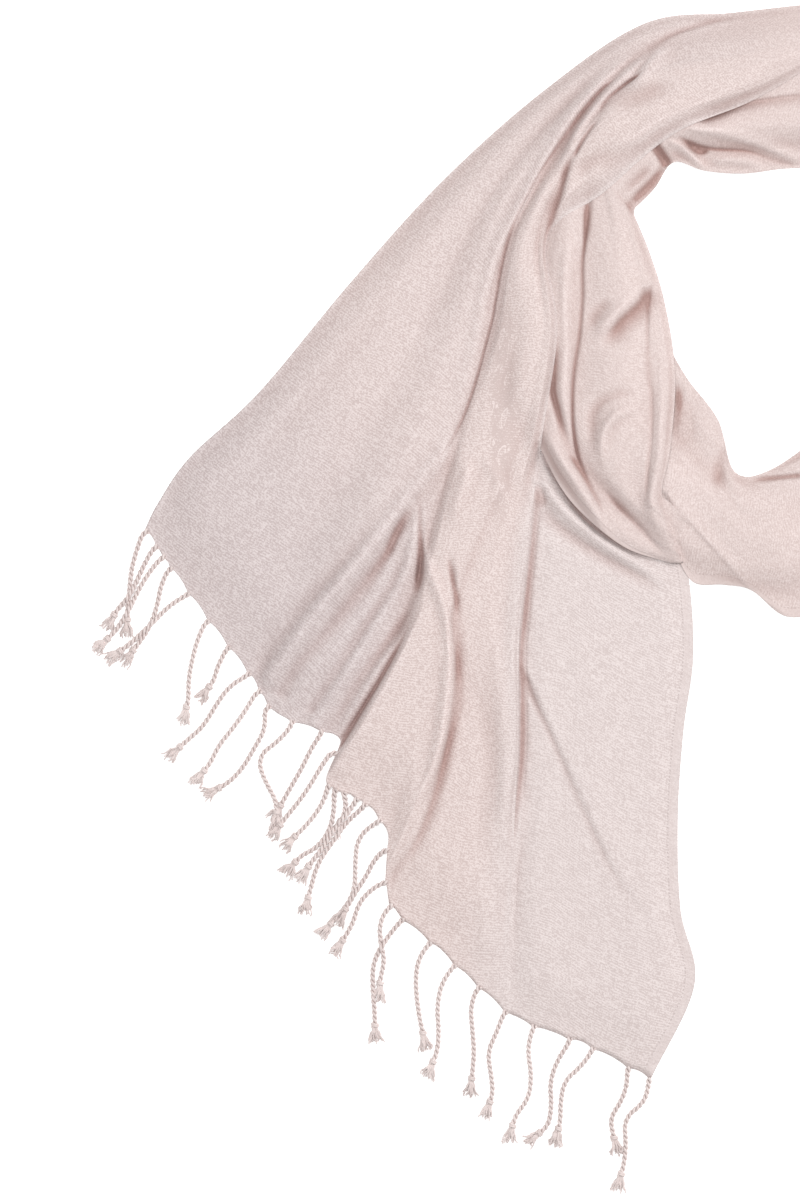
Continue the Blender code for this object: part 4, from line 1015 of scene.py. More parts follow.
# %% Finer creases of the back
BACK_CREASES = table(
    Crease,
    ("back crease", (-1.4, -1.8, -2.8, -5, -3.4), 5, 1.1, (0.05, 0.15), ((290.9, 362.9), (266.4, 360),
        (245.5, 356.4), (227.5, 349.9), (208.8, 342.7))),
    ("upper leaf", (2.0, 3.4, 3.4, 3.0, 2.0), 6, 2.0, (0.12, 0.1), ((201.6, 338.4), (227.5, 334.8),
        (251.3, 329), (270, 322.6), (290.9, 313.9))),
    ("under the leaf", (-1.6, -4, -2.6, -1.2, -1.0, -1.0), 1.0, 1.2, (0.15, 0.15), ((197.3, 334.8),
        (208.8, 328.3), (223.9, 324.7), (251.3, 322.6), (270, 316.1), (290.9, 311))),
    ("dark wedge", (-2, -5, -2), 2.2, 2.0, (0.3, 0.3), ((204.5, 330.5), (215.3, 323.3), (223.9, 324))),
    ("lens fold", (2.0, 3.6, 3.6, 2.0), 1.8, 4, (0.15, 0.1), ((190.8, 329.8), (201.6, 326.2),
        (213.1, 316.8), (220.3, 309.6))),
    ("lower leaf", (1.5, 2.8, 2.6, 1.2), 2.4, 4, (0.2, 0.25), ((221.8, 315.4), (236.2, 316.8),
        (250.6, 315.4), (265, 311))),
    ("inner hollow", (-6, -8, -6), 3.2, 3.2, (0.2, 0.1), ((181.4, 328.3), (187.2, 320.4), (193, 311.8))),
    ("inner curl edge", (1.5, 3.0, 2.0), 2.0, 3.0, (0.2, 0.2), ((162.7, 289.4), (175, 301.7),
        (185.8, 311.8))),
    ("inner curl", (-5, -8, -8, -5), 4.4, 2.4, (0.15, 0.15), ((167, 285.1), (177.1, 293.8), (185.8, 302.4),
        (193, 309.6))),
    ("curl shade", (-2, -4.4, -3.6), 6, 6, (0.3, 0.3), ((159.8, 290.9), (171.4, 301), (182.9, 313.9))),
)

# %% [markdown]
# Down the left side run a narrow band with a deep crease beside it and one thin pleat line. Two
# folds cross between them, with soft hollows.

# %% Finer creases of the left side
LEFT_CREASES = table(
    Crease,
    ("band crease", (-5, -3.4, -2.2, -2, -2, -2, -2.6, -3.4, -3.4, -1.6, -0.8), 1.2, 1.3, (0.03, 0.25),
        ((132.5, 283.7), (133.2, 262.8), (131, 241.2), (131, 217.4), (128.9, 190.1), (124.6, 160.6),
        (123.8, 136.1), (125.3, 118.1), (128.9, 100.1), (136.8, 82.1), (146.9, 63.4))),
    ("band wedge", (-5, -2), 2.4, 2, (0.05, 0.5), ((133.9, 285.1), (134.6, 270.7), (133.2, 254.9))),
    ("narrow band", (1.2, 2.6, 3.0, 3.0, 2.6, 2.0), 3.4, 4, (0.2, 0.25), ((124.6, 272.2), (120.2, 244.8),
        (118.8, 216), (119.5, 180), (118.1, 149.8), (119.5, 129.6), (123.8, 110.9))),
    ("gap beside the band", (-1.8, -4.6, -6, -5.4, -3.6, -2), 2.2, 3.2, (0.25, 0.3), ((113, 194.4),
        (110.9, 162), (110.2, 149.8), (113.8, 135.4), (117.4, 121), (121.7, 105.8))),
    ("first roll", (1.8, 4.6, 5.0, 4.6, 3.2, 1.6), 6, 4.6, (0.15, 0.25), ((100.8, 130.3), (110.9, 108.7),
        (126, 85), (141.1, 61.2), (149, 49), (165.6, 38.9)), -0.8),
    ("first roll crease", (-3, -2, -2, -1.5), 1.6, 1.6, (0.15, 0.4), ((121.7, 105.8), (132.5, 87.8),
        (144, 67), (149, 53.3))),
    ("pleat line", (-2.4, -1.4, -1.0, -0.8, -0.8, -0.8, -0.8, -1.4, -2.2), 1.4, 1.6, (0.08, 0.12),
        ((181.4, 229.7), (178.6, 214.6), (177.8, 190.1), (178.6, 160.6), (180.7, 148.3), (180.7, 123.8),
        (178.6, 100.1), (177.1, 79.2), (175, 65.5))),
    ("bright strip", (0.6, 1.2, 1.6, 1.8, 1.8, 2.0, 1.8, 1.2), 3.8, 4.4, (0.3, 0.3), ((185.8, 194.4),
        (187.2, 160.6), (187.9, 136.1), (187.2, 108), (183.6, 85), (180.7, 64.8), (186.5, 49),
        (198.7, 37.4))),
    ("upper fold", (1.5, 3.2, 3.2, 1.6), 4, 5, (0.2, 0.3), ((177.1, 223.2), (159.1, 208.1), (147.6, 196.6),
        (136.8, 184.3))),
    ("upper hollow", (-5, -7, -7, -5.4, -2.8), 11, 4.6, (0.2, 0.35), ((182.2, 228.2), (172.8, 213.1),
        (159.8, 200.2), (151.2, 188.6), (144.7, 175.7))),
    ("upper shade", (-1.0, -2.0, -1.4), 4, 5, (0.3, 0.4), ((153.4, 217.4), (141.1, 205.2), (135.4, 190.1))),
    ("middle fold", (1.5, 3.6, 4.2, 3.6, 1.6), 3.4, 2.4, (0.2, 0.3), ((174.2, 139), (156.2, 133.9),
        (147.6, 124.6), (144, 112.3), (145.4, 93.6))),
    ("middle hollow", (-1.0, -2.0, -2.6, -2.0, -1.0), 3, 5, (0.2, 0.4), ((172.8, 149), (153.4, 146.2),
        (141.1, 136.8), (138.2, 121), (139.7, 100.1))),
    ("lower fold line", (-1.2, -2.6, -2.0, -1.2, -0.8), 2.2, 1.8, (0.3, 0.15), ((144, 82.1), (156.2, 68.4),
        (171.4, 53.3), (183.6, 38.9), (193, 28.8))),
)

# %% [markdown]
# The front turns its selvedge up and has one deep slot, where it comes out from under the left.

# %% Finer creases of the front
FRONT_CREASES = table(
    Crease,
    ("front slot", (-5, -12, -6, -2), 2.6, 3.4, (0.25, 0.4), ((198.7, 158.4), (200.9, 145.4), (200.2, 131),
        (197.3, 110.9))),
    ("front hollow", (-1.5, -2.6, -2), 9, 5, (0.3, 0.4), ((204.5, 151.2), (205.2, 129.6), (200.2, 103.7))),
    ("front start", (-1.4, -2.4, -1.2), 2.2, 2, (0.2, 0.5), ((187.2, 79.2), (191.5, 70.6), (198, 62.6))),
    ("front selvedge", (0.8, 1.0, 1.0, 1.0), 6, 0.9, (0.2, 0.1), ((190.1, 77.8), (198, 67.7), (215.3, 48.2),
        (234, 28.1), (247.7, 12.2), (263.5, -0.7), (280.8, -13))),
    ("neck shade", (-1.4, -2.4, -1.4), 5, 5, (0.3, 0.3), ((235.4, 115.2), (230.4, 96.5), (227.5, 76.3))),
    ("front fold", (1.0, 2.4, 2.4, 2.0), 3, 5, (0.3, 0.1), ((241.9, 90.7), (256.3, 95), (271.4, 103),
        (290.9, 116.6))),
    ("front fold line", (-1.4, -3.0, -3.0), 1.6, 1.8, (0.3, 0.1), ((250.6, 86.4), (270, 87.8),
        (290.9, 90))),
    ("front under fold", (-1.4, -2.4, -2.4), 2.4, 2.4, (0.3, 0.1), ((262.1, 92.2), (276.5, 99.4),
        (290.9, 106.6))),
)

# %% [markdown]
# The right side and the far end are plainer: long rolls and creases of the same depths.

# %% Finer creases of the right side and the far end
RIGHT_CREASES = table(
    Crease,
    ("right roll", (1.5, 2.5, 2.5, 1.5), 8, 3, (0.2, 0.2), ((350, 96), (405, 140), (438, 205), (440, 280),
        (418, 340))),
    ("right crease", -2.6, 3, 3, (0.2, 0.3), ((340, 70), (400, 105), (452, 180), (462, 262), (440, 340))),
    ("right inner crease", -2.2, 4, 3, (0.3, 0.3), ((372, 140), (404, 190), (410, 252), (394, 318))),
    ("right outer roll", 2.2, 4, 8, (0.2, 0.3), ((372, 44), (440, 95), (482, 180), (480, 262), (458, 352))),
)
FAR_CREASES = table(
    Crease,
    ("far long crease", -2.6, 3, 4, (0.2, 0.3), ((400, 372), (470, 330), (535, 240), (585, 130))),
    ("far pleat edge", (1.5, 3, 3, 1.5), 12, 2.5, (0.15, 0.3), ((420, 350), (482, 282), (530, 180),
        (560, 70))),
    ("far valley", -2.4, 6, 6, (0.2, 0.3), ((430, 316), (480, 226), (507, 130), (515, 50))),
    ("far inner roll", 2.4, 4, 10, (0.2, 0.3), ((412, 300), (448, 222), (470, 120), (482, 20))),
    ("far edge hollow", -1.8, 8, 8, (0.2, 0.2), ((440, 362), (520, 290), (582, 190), (622, 96))),
)

# %% [markdown]
# The far end and the back are lofted apart, because their folds have tables of their own, but they
# are laid as one grid. The far hem is scalloped like the near one, with its roots evenly spaced.

# %% Lay the far end and the back, then the front
FAR_STRANDS = 32

far = loft(FAR, stations(FAR_ROWS))
back = loft(BACK, stations(BACK_ROWS))
far_reach = across_of(far[-1])
scallop(far, far_reach, far_reach[-1] * (np.arange(FAR_STRANDS) + 0.5) / FAR_STRANDS)
back_and_far = np.concatenate([far[::-1], back[1:]])
back_cut = lay(back_and_far, (*FAR_CREASES, *BACK_CREASES), Puff(2.0, 14, 1), Ripple(7, 14, 70, 0.25))

front = loft(FRONT, stations(FRONT_ROWS))
front_cut = lay(front, FRONT_CREASES, Puff(0, 14, 1), Ripple(9, 14, 60, 0.25))
front_map = map_of(front)
print("the back is", back_and_far[..., 2].max().round(1), "mm high, the front", front[..., 2].max().round(1))

# %% [markdown]
# The left side starts on the back's last row and lies on the tucked side and the front. Its tail
# goes down below the front's edge, and only there, or it would leave a slot beside it.

# %% Lay the left side and sink its tail
LEFT_WELD_ROWS = 36
TAIL_ROWS = 30  # rows over which the loop's tail goes down below the cloth of its front
TAIL_SINK = 1.0
COVER_ROUNDS = 6  # how softly the front's cover begins
COVER, COVER_SPAN = 0.7, 0.25
JOIN_EASE = 26  # rows on either side of the join with the back

left = loft(LEFT, stations(LEFT_ROWS))
weld(left, back_and_far[-1, :, :2])
left_cut = lay(left, LEFT_CREASES, Puff(2.6, 12, 60), Ripple(11, 14, 60, 0.15), [tucked_map, front_map])
weld(left, back_and_far[-1], LEFT_WELD_ROWS)
tail_below = read_map(highest([tucked_map, front_map]), left)
cover = softened((front_map > 0).astype(float), COVER_ROUNDS)
covered = smoothstep((read_map(cover, left) - COVER) / COVER_SPAN)
for k in range(TAIL_ROWS):
    row, sink = left[-1 - k], smoothstep(1 - k / TAIL_ROWS)
    row[:, 2] += (tail_below[-1 - k] - TAIL_SINK - row[:, 2]) * sink * covered[-1 - k]
ease_weld([back_and_far, left], JOIN_EASE)
back_map = map_of(back_and_far)
left_map = map_of(left)
print("the left side is", left[..., 2].max().round(1), "mm high")

# %% [markdown]
# The right side closes the ring: it starts on the front's last row and lies on the far end.

# %% Lay the right side
right = loft(RIGHT, stations(RIGHT_ROWS))
weld(right, front[-1, :, :2])
right_cut = lay(right, RIGHT_CREASES, Puff(2.0, 14, 1), Ripple(13, 14, 70, 0.35), [back_map])
weld(right, front[-1])
print("the right side is", right[..., 2].max().round(1), "mm high")

# %% [markdown]
# Last of all the crossing end is laid over everything. Its free right edge comes down on the cloth
# below it, from the crown of the loop to the slit, and the tucked side rises to meet its seam.

# %% Lay the crossing end
FLAP_ROW = sum(CROSSING_ROWS[:3])  # where its edge leaves the loop
REST_ROWS = ((0, 0.4), (FLAP_ROW - 6, 0.7), (FLAP_ROW + 12, 1), (SLIT - 4, 1), (SLIT + 6, 0))
REST_COLUMNS = 26
REST_FREE = 0.25

under_crossing = [left_map, back_map, beside_slit_map]
crossing_cut = lay(crossing, CROSSING_CREASES, Puff(4.6, 26, 60), Ripple(3, 18, 70, 0.2), under_crossing)
rest_edge(crossing, [low_bundle_map, *under_crossing], REST_ROWS, REST_COLUMNS, REST_FREE)
seam_gap = crossing[SLIT:, -1, 2] - tucked[first_row:, 0, 2]
tucked[first_row:, :, 2] += seam_gap[:, None] * joined[None, :]
for k in range(first_row):
    tucked[k, :, 2] += seam_gap[0] * joined * (k / first_row) ** 3

crown_y, crown_z = crossing[0, ::-1, 1], crossing[0, ::-1, 2]
crown_gap = np.interp(right[-1, :, 1], crown_y, crown_z) - right[-1, :, 2]
for k in range(WELD_ROWS):
    right[-1 - k, :, 2] += crown_gap * smoothstep(1 - k / WELD_ROWS)
print("highest point", round(max(crossing[..., 2].max(), right[..., 2].max(), left[..., 2].max()), 1), "mm")

# %% [markdown]
# ## The shells
#
# Both grids of the spread end become one piece, so its rim runs round the two of them, down one
# side of the slit and up the other.

# %% The shell of the spread end
warp = across_of(crossing[-1])
crossing = with_places(
    crossing, along_of(crossing), warp, FAR_IN, along_of(crossing[::-1])[::-1], crossing_cut,
)
tucked_along = along_of(tucked)
tucked_along += crossing[SLIT, -1, 3] - tucked_along[first_row, 0]
from_selvedge = np.hypot(tucked[..., 0] - tucked[:, -1:, 0], tucked[..., 1] - tucked[:, -1:, 1])
tucked = with_places(
    tucked, tucked_along, warp[-1] + across_of(tucked[-1]), np.minimum(from_selvedge, FAR_IN),
    along_of(tucked[::-1])[::-1], tucked_cut,
)
tucked[first_row:, 0] = crossing[SLIT:, -1]
rows_c, columns_c = crossing.shape[:2]
rows_t, columns_t = tucked.shape[:2]
near_rim = (
    [(0, r, 0) for r in range(rows_c)]
    + [(0, rows_c - 1, c) for c in range(1, columns_c)]
    + [(1, rows_t - 1, c) for c in range(1, columns_t)]
    + [(1, r, columns_t - 1) for r in range(rows_t - 2, -1, -1)]
    + [(1, 0, c) for c in range(columns_t - 2, -1, -1)]
    + [(1, r, 0) for r in range(1, first_row + 1)]
    + [(0, r, columns_c - 1) for r in range(SLIT - 1, -1, -1)]
    + [(0, 0, c) for c in range(columns_c - 2, 0, -1)]
)
near_end = make_shell("near_end", [crossing, tucked], near_rim)

# %% [markdown]
# The loop's two pieces have a selvedge too. Where the tail passes under the front, and along the
# front's low turned-up part, little painted shade is wanted, so the hollow's painted shade is faded
# out there, and the low part gets a painted highlight, as a crown does.

# %% The shells of the loop
BACK_WARP, FRONT_WARP = 300, 260  # widths of cloth that are gathered in them
HEM_FAR = 400  # this far from a hem, its distance plays no part
TAIL_FADE_ROWS, TAIL_SHADE = 40, 0.2
LOW_ROWS, LOW_COLUMN, LOW_SPAN = 44, 34, 16
# Painted highlight on the front's low turned-up part, as on a crown.
LOW_PAINTED_HIGHLIGHT = 1.6  # how much like a crown the low part counts

loop_one = np.concatenate([back_and_far, left[1:]])
loop_one = with_places(
    loop_one, along_of(loop_one), np.linspace(0, BACK_WARP, loop_one.shape[1]),
    np.minimum(across_of(loop_one[len(loop_one) // 2]), FAR_IN), np.minimum(along_of(loop_one), HEM_FAR),
    np.concatenate([back_cut, left_cut[1:]]),
)
fade_tail = smoothstep(np.arange(TAIL_FADE_ROWS) / TAIL_FADE_ROWS)[::-1, None]
loop_one[-TAIL_FADE_ROWS:, :, HOLLOW] *= TAIL_SHADE + (1 - TAIL_SHADE) * fade_tail
loop_and_far_end = make_shell("loop_back_and_far_end", [loop_one], whole_rim(loop_one))

loop_two = np.concatenate([front, right[1:]])
two_line = across_of(loop_two[10])
loop_two = with_places(
    loop_two, along_of(loop_two), np.linspace(0, FRONT_WARP, loop_two.shape[1]),
    np.minimum(two_line[-1] - two_line, FAR_IN), HEM_FAR, np.concatenate([front_cut, right_cut[1:]]),
)
low_part = smoothstep((np.arange(loop_two.shape[1]) - LOW_COLUMN) / LOW_SPAN)[None, :]
low_part = low_part * smoothstep(1 - np.arange(LOW_ROWS) / LOW_ROWS)[:, None]
loop_two[:LOW_ROWS, :, HOLLOW] *= 1 - low_part
loop_two[:LOW_ROWS, :, HOLLOW] -= LOW_PAINTED_HIGHLIGHT * low_part
loop_front = make_shell("loop_front_and_right", [loop_two], whole_rim(loop_two))

# %% [markdown]
# ## Writing nodes as expressions
#
# Both the materials and the fringe are node trees. So that they read like sums, a socket is wrapped
# in a small class that turns Python's operators into Math nodes, and every other node is added by
# one method: its settings first, then the values or links of its sockets.

# %% Sockets in expressions
class Term:
    """One output socket, for use in Python expressions."""

    def __init__(self, board, socket):
        self.board, self.socket = board, socket

    def __add__(self, other):
        return self.board.math("ADD", self, other)

    def __sub__(self, other):
        return self.board.math("SUBTRACT", self, other)

    def __rsub__(self, other):
        return self.board.math("SUBTRACT", other, self)

    def __mul__(self, other):
        return self.board.math("MULTIPLY", self, other)

    def __truediv__(self, other):
        return self.board.math("DIVIDE", self, other)

    __radd__, __rmul__ = __add__, __mul__

    def others(self, count):
        """The first outputs of the node that this socket is on."""
        return [Term(self.board, self.socket.node.outputs[k]) for k in range(count)]


class Board:
    """A node tree and the one way in which nodes are put on it."""

    def __init__(self, tree):
        self.tree = tree

    def node(self, kind, settings=None, sockets=None, output=0):
        made = self.tree.nodes.new(kind)
        for name, value in (settings or {}).items():
            setattr(made, name, value)
        for name, value in (sockets or {}).items():
            if isinstance(name, int):
                socket = made.inputs[name]
            else:
                socket = next(s for s in made.inputs if name in (s.identifier, s.name))
            if isinstance(value, Term):
                self.tree.links.new(value.socket, socket)
            else:
                socket.default_value = value
        return Term(self, made.outputs[output]) if len(made.outputs) else made

    def geometry(self, kind, sockets=None, **settings):
        return self.node("GeometryNode" + kind, settings, sockets)

    def math(self, operation, *values, clamp=False):
        settings = {"operation": operation, "use_clamp": clamp}
        return self.node("ShaderNodeMath", settings, dict(enumerate(values)))

    def vector(self, operation, *values, output=0):
        return self.node("ShaderNodeVectorMath", {"operation": operation}, dict(enumerate(values)), output)

    def scaled(self, vector, scale):
        return self.node("ShaderNodeVectorMath", {"operation": "SCALE"}, {0: vector, "Scale": scale})

    def point(self, x, y, z):
        return self.node("ShaderNodeCombineXYZ", None, {0: x, 1: y, 2: z})

    def attribute(self, word):
        return self.node("ShaderNodeAttribute", {"attribute_name": word}, output=2)

    def object_place(self):
        return self.node("ShaderNodeTexCoord", output=3)

    def ramp(self, value, low, high, kind="SMOOTHSTEP"):
        """0 below low, 1 above high, and a smooth rise between, or an even one if it is LINEAR."""
        return self.node(
            "ShaderNodeMapRange", {"interpolation_type": kind},
            {"Value": value, "From Min": low, "From Max": high},
        )

    def blend(self, share, a, b, kind="MIX"):
        return self.node(
            "ShaderNodeMix", {"data_type": "RGBA", "blend_type": kind},
            {"Factor_Float": share, "A_Color": a, "B_Color": b}, 2,
        )

    def noise(self, place, scale, detail=2.0, roughness=0.5, distortion=0.0):
        return self.node("ShaderNodeTexNoise", None, {
            "Vector": place, "Scale": scale, "Detail": detail, "Roughness": roughness,
            "Distortion": distortion,
        })

    def bump(self, strength, distance, height, **below):
        sockets = {"Strength": strength, "Distance": distance, "Height": height, **below}
        return self.node("ShaderNodeBump", None, sockets)


def new_material(name):
    material = bpy.data.materials.new(name)
    material.use_nodes = True
    material.node_tree.nodes.clear()
    return material, Board(material.node_tree)


def finish_material(board, color, roughness, normal, sheen):
    """Ends a material in a Principled shader with the sheen of soft fibres."""
    shader = board.tree.nodes.new("ShaderNodeBsdfPrincipled")
    shader.inputs["Sheen Weight"].default_value = sheen
    shader.inputs["Sheen Roughness"].default_value = 0.45
    shader.inputs["Sheen Tint"].default_value = (1.0, 0.93, 0.91, 1.0)
    shader.inputs["Specular IOR Level"].default_value = 0.3
    for socket, value in (("Base Color", color), ("Roughness", roughness), ("Normal", normal)):
        board.tree.links.new(value.socket, shader.inputs[socket])
    out = board.tree.nodes.new("ShaderNodeOutputMaterial")
    board.tree.links.new(shader.outputs["BSDF"], out.inputs["Surface"])
    return shader


# %% [markdown]
# ## The pashmina
#
# A tone-on-tone ornament is woven into the cloth, barely seen. It is charted by rule: in each
# repeat a bent drop with a bright outline, with a small round flower beside it, and every second
# row is moved by half a repeat. In places it has worn away.

# %% Drops and flowers
REPEAT_WIDE, REPEAT_LONG = 30 * MM, 25 * MM  # one repeat of the woven ornament
PETALS = 6.0


def drops(b, along, warp):
    """How strongly the ornament shows at a place on the flat cloth."""
    row = b.math("FLOOR", along / REPEAT_LONG)
    odd = b.math("MODULO", b.math("ABSOLUTE", row), 2.0)
    u = b.math("FRACT", warp / REPEAT_WIDE + odd * 0.5) - 0.5
    v = b.math("FRACT", along / REPEAT_LONG) - 0.5
    bend = u - (v + 0.1) * (v + 0.1) * 0.9
    body = bend * bend * 7.0 / (0.62 - v * 0.8) + (v + 0.05) * (v + 0.05) * 3.4
    leaf = 1 - b.ramp(body, 0.30, 0.36)
    core = 1 - b.ramp(body, 0.17, 0.22)
    x, y = u - 0.33, v + 0.28
    turn = b.math("ARCTAN2", y, x)
    radius = b.math("SQRT", x * x + y * y)
    petals = 0.085 + b.math("COSINE", turn * PETALS) * 0.028
    flower = 1 - b.ramp(radius - petals, -0.012, 0.012)
    worn = b.ramp(b.noise(b.point(along, warp, 0.0), 60.0, 3.0), 0.34, 0.54)
    return (leaf - core * 0.6 + flower) * worn


# %% [markdown]
# The cloth is a fine twill of combed wool in a pale blush. Close up it has ribs across its length,
# a little under two millimetres apart, with slubs where a yarn is thicker, and faint streaks along
# the warp. The shader gives it a soft sheen, and shade is painted into its colour: darker and warmer
# in the creases and hollows, lighter on the crowns, and greyer and darker towards the left edge and
# the hem of the spread end. Where the cloth is a single layer it is sheerer. The weave follows the
# flat cloth, but its finest grain is read in space, so that it stays even where the flat cloth is
# stretched on the grid.

# %% The colours of the cloth
PALE = (0.715, 0.612, 0.590, 1.0)
DEEP = (0.560, 0.452, 0.430, 1.0)
# A greyer, darker copy of the colours: painted shade towards the left edge and the hem of the spread end.
PAINTED_SHADE_PALE = (0.630, 0.556, 0.550, 1.0)
PAINTED_SHADE_DEEP = (0.480, 0.404, 0.399, 1.0)
SHEER_PALE = (0.690, 0.622, 0.612, 1.0)
SHEER_DEEP = (0.560, 0.492, 0.482, 1.0)
# Painted shade for the creases of the loop and of the spread end, and painted highlight for the crowns.
LOOP_PAINTED_SHADE = (0.580, 0.430, 0.400, 1.0)  # what is left of each colour deep in a crease
NEAR_PAINTED_SHADE = (0.590, 0.450, 0.425, 1.0)
PAINTED_HIGHLIGHT = (1.09, 1.10, 1.105, 1.0)  # and on a crown

RIB = 1.9 * MM  # pitch of the ribs
STITCH = 2.6 * MM  # pitch of the selvedge's stitches
LOOP_LEVEL, LOOP_WEAVE = 0.40, 0.75  # how pale the loop's cloth is, and how open its weave


def cloth(name, shade, open_weave, level, ornament=0.0, painted_shade_until=0.0, sheer_from=0.0):
    """The pashmina, with its colour in creases and how strongly its weave and ornament show.

    Its colour in creases is painted shade. The last two are where along the weft its colour turns
    to a greyer, darker painted shade, and where it turns sheer.
    """
    material, b = new_material(name)
    place = b.node("ShaderNodeUVMap", {"uv_map": "weave"})
    along, warp = b.node("ShaderNodeSeparateXYZ", None, {0: place}).others(2)
    edge, hem, hollow = (b.attribute(word) for word in ("edge", "hem", "hollow"))
    ease = b.ramp(along, 0.02, 0.11) if painted_shade_until else 1.0  # the spread end starts as the loop's cloth
    level = LOOP_LEVEL + (level - LOOP_LEVEL) * ease
    open_weave = LOOP_WEAVE + (open_weave - LOOP_WEAVE) * ease

    waver = b.noise(place, 38.0, 3.0)
    ribs = b.math("SINE", ((along + warp * 0.16) / RIB + waver * 2.4) * (2 * math.pi))
    slubs = b.noise(b.point(along * 700.0, warp * 130.0, 0.0), 1.0, 3.0, 0.6)
    threads = b.noise(b.point(along * 60.0, warp * 800.0, 3.0), 1.0, 2.0, 0.6)
    cloud = b.noise(place, 90.0, 3.0, 0.6)
    solid = b.object_place()
    fleck = b.noise(solid, 500.0, 3.0, 0.65)
    grit = b.noise(solid, 900.0, 2.0, 0.6)
    plain = b.ramp(edge, 6.4, 7.4)  # the ribs stop at the selvedge, where the stitches run
    fade = 0.6 + b.ramp(waver, 0.30, 0.62) * 0.4

    grain = (slubs - 0.5) * 2.4 + (threads - 0.5) * 0.9 + (fleck - 0.5) * 1.1 + (grit - 0.5) * 3.8
    tone = level + ribs * fade * plain * 0.30 * open_weave
    tone = tone + grain * (0.35 + plain * 0.65) * open_weave + (cloud - 0.5) * 0.2
    dots = b.ramp(b.math("SINE", along * (2 * math.pi / STITCH)), 0.1, 0.6)
    stitched = b.ramp(edge, 6.7, 7.1) * (1 - b.ramp(edge, 7.6, 8.0)) * dots
    tone = tone - stitched * 0.7
    rough = 0.52 + (cloud - 0.5) * 0.16 + ribs * 0.03
    if ornament:  # it is densest in one slanting field of the spread end, whose ground is deeper
        band = b.math("ABSOLUTE", warp - 0.305 - (along - 0.40) * 0.9)
        field = 1 - b.ramp(band, 0.016, 0.040)
        field = field * b.ramp(along, 0.32, 0.37) * (1 - b.ramp(along, 0.455, 0.490))
        figure = drops(b, along, warp)
        tone = tone + figure * (ornament + field * 1.3) - field * 0.75
        rough = rough - figure * 0.10
    tone = b.math("MULTIPLY_ADD", tone, 1.0, 0.0, clamp=True)

    color = b.blend(tone, DEEP, PALE)
    # Towards the left edge and the hem of the spread end the colour is painted greyer and darker, as painted
    # shade.
    if painted_shade_until:
        grey, sheer = b.blend(tone, PAINTED_SHADE_DEEP, PAINTED_SHADE_PALE), b.blend(tone, SHEER_DEEP, SHEER_PALE)
        painted_shade_share = (1 - b.ramp(warp, painted_shade_until - 0.08, painted_shade_until)) * (0.9 - b.ramp(hem, 60.0, 260.0) * 0.65)
        color = b.blend(painted_shade_share * ease, color, grey)
        color = b.blend(b.ramp(warp, sheer_from - 0.03, sheer_from + 0.05) * ease * 0.6, color, sheer)
    # Painted shade in the creases and hollows, and painted highlight on the crowns.
    color = b.blend(b.ramp(hollow, 0.15, 4.6, "LINEAR") * 0.92, color, shade, "MULTIPLY")
    color = b.blend(b.ramp(hollow * -1, 0.2, 3.0, "LINEAR"), color, PAINTED_HIGHLIGHT, "MULTIPLY")

    relief = ribs * fade * plain * 0.06 + slubs * 0.5 + threads * 0.3
    relief = relief + fleck * 0.6 + grit * 0.3 - stitched * 0.5
    crumple = b.noise(b.point(along * 50.0, warp * 70.0, 0.0), 1.0, 3.0, 0.5, 0.3)
    bumped = b.bump(0.3, 0.001, crumple, Normal=b.bump(1.0, 0.00035, relief))
    finish_material(b, color, rough, bumped, 0.35)
    return material


near_cloth = cloth(
    "blush pashmina", NEAR_PAINTED_SHADE, open_weave=1.4, level=0.46, ornament=0.16, painted_shade_until=0.27, sheer_from=0.44,
)
loop_cloth = cloth("blush pashmina of the loop", LOOP_PAINTED_SHADE, LOOP_WEAVE, LOOP_LEVEL)
near_end.data.materials.append(near_cloth)
for piece in (loop_and_far_end, loop_front, hidden):
    piece.data.materials.append(loop_cloth)
print("materials:", [m.name for m in (near_cloth, loop_cloth)])

# %% [markdown]
# ## The fringe
#
# Each strand is two plies twisted round each other, tied in a knot and left to fray. Only its way
# over the table is stated. Geometry Nodes then wind the two plies round that guide, tie the knot
# and spread the frayed tuft, so that all 64 strands are made by one rule.
#
# The guide comes first: from the hem it sinks to the table, turns through its five headings, and
# climbs over every strand that was laid before it.

# %% The way of each strand
STRAND = 3.1  # width of a twisted strand
STRAND_DEPTH = 2.6  # how far two strands' middles lie apart where one lies on the other
STRAND_REST = 1.75  # height of a strand's middle above the table
STRAND_FALL = 9.0  # length in which it sinks from the hem to the table
TUFT = 18.0  # length of the knot and the frayed tuft
TUFT_IN = 0.75  # share of the tuft that counts in the strand's length
CLIMB_ROUNDS = 60  # how softly a strand rises over another
HEM_ROUNDS = 12  # how far the hem is smoothed, so that its scallops don't turn the roots


def strand_path(start, out, strand):
    """Distance, x, y, heading and height of a strand, a row for every half millimetre."""
    body = strand.length - TUFT * TUFT_IN
    away = np.linspace(0, body, 2 * round(body) + 1)
    headings = np.radians([math.degrees(math.atan2(out[1], out[0])) % 360, *strand[2:7]])
    heading = np.interp(away, np.array([0, *(np.arange(5) + 0.5) / 5]) * strand.length, headings)
    step = np.column_stack([np.cos(heading), np.sin(heading)]) * away[1]
    plan = start[:2] + np.concatenate([[[0, 0]], np.cumsum((step[:-1] + step[1:]) / 2, axis=0)])
    height = STRAND_REST + max(start[2] - STRAND_REST, 0) * np.exp(-away / STRAND_FALL)
    return np.column_stack([away, plan, heading, height])


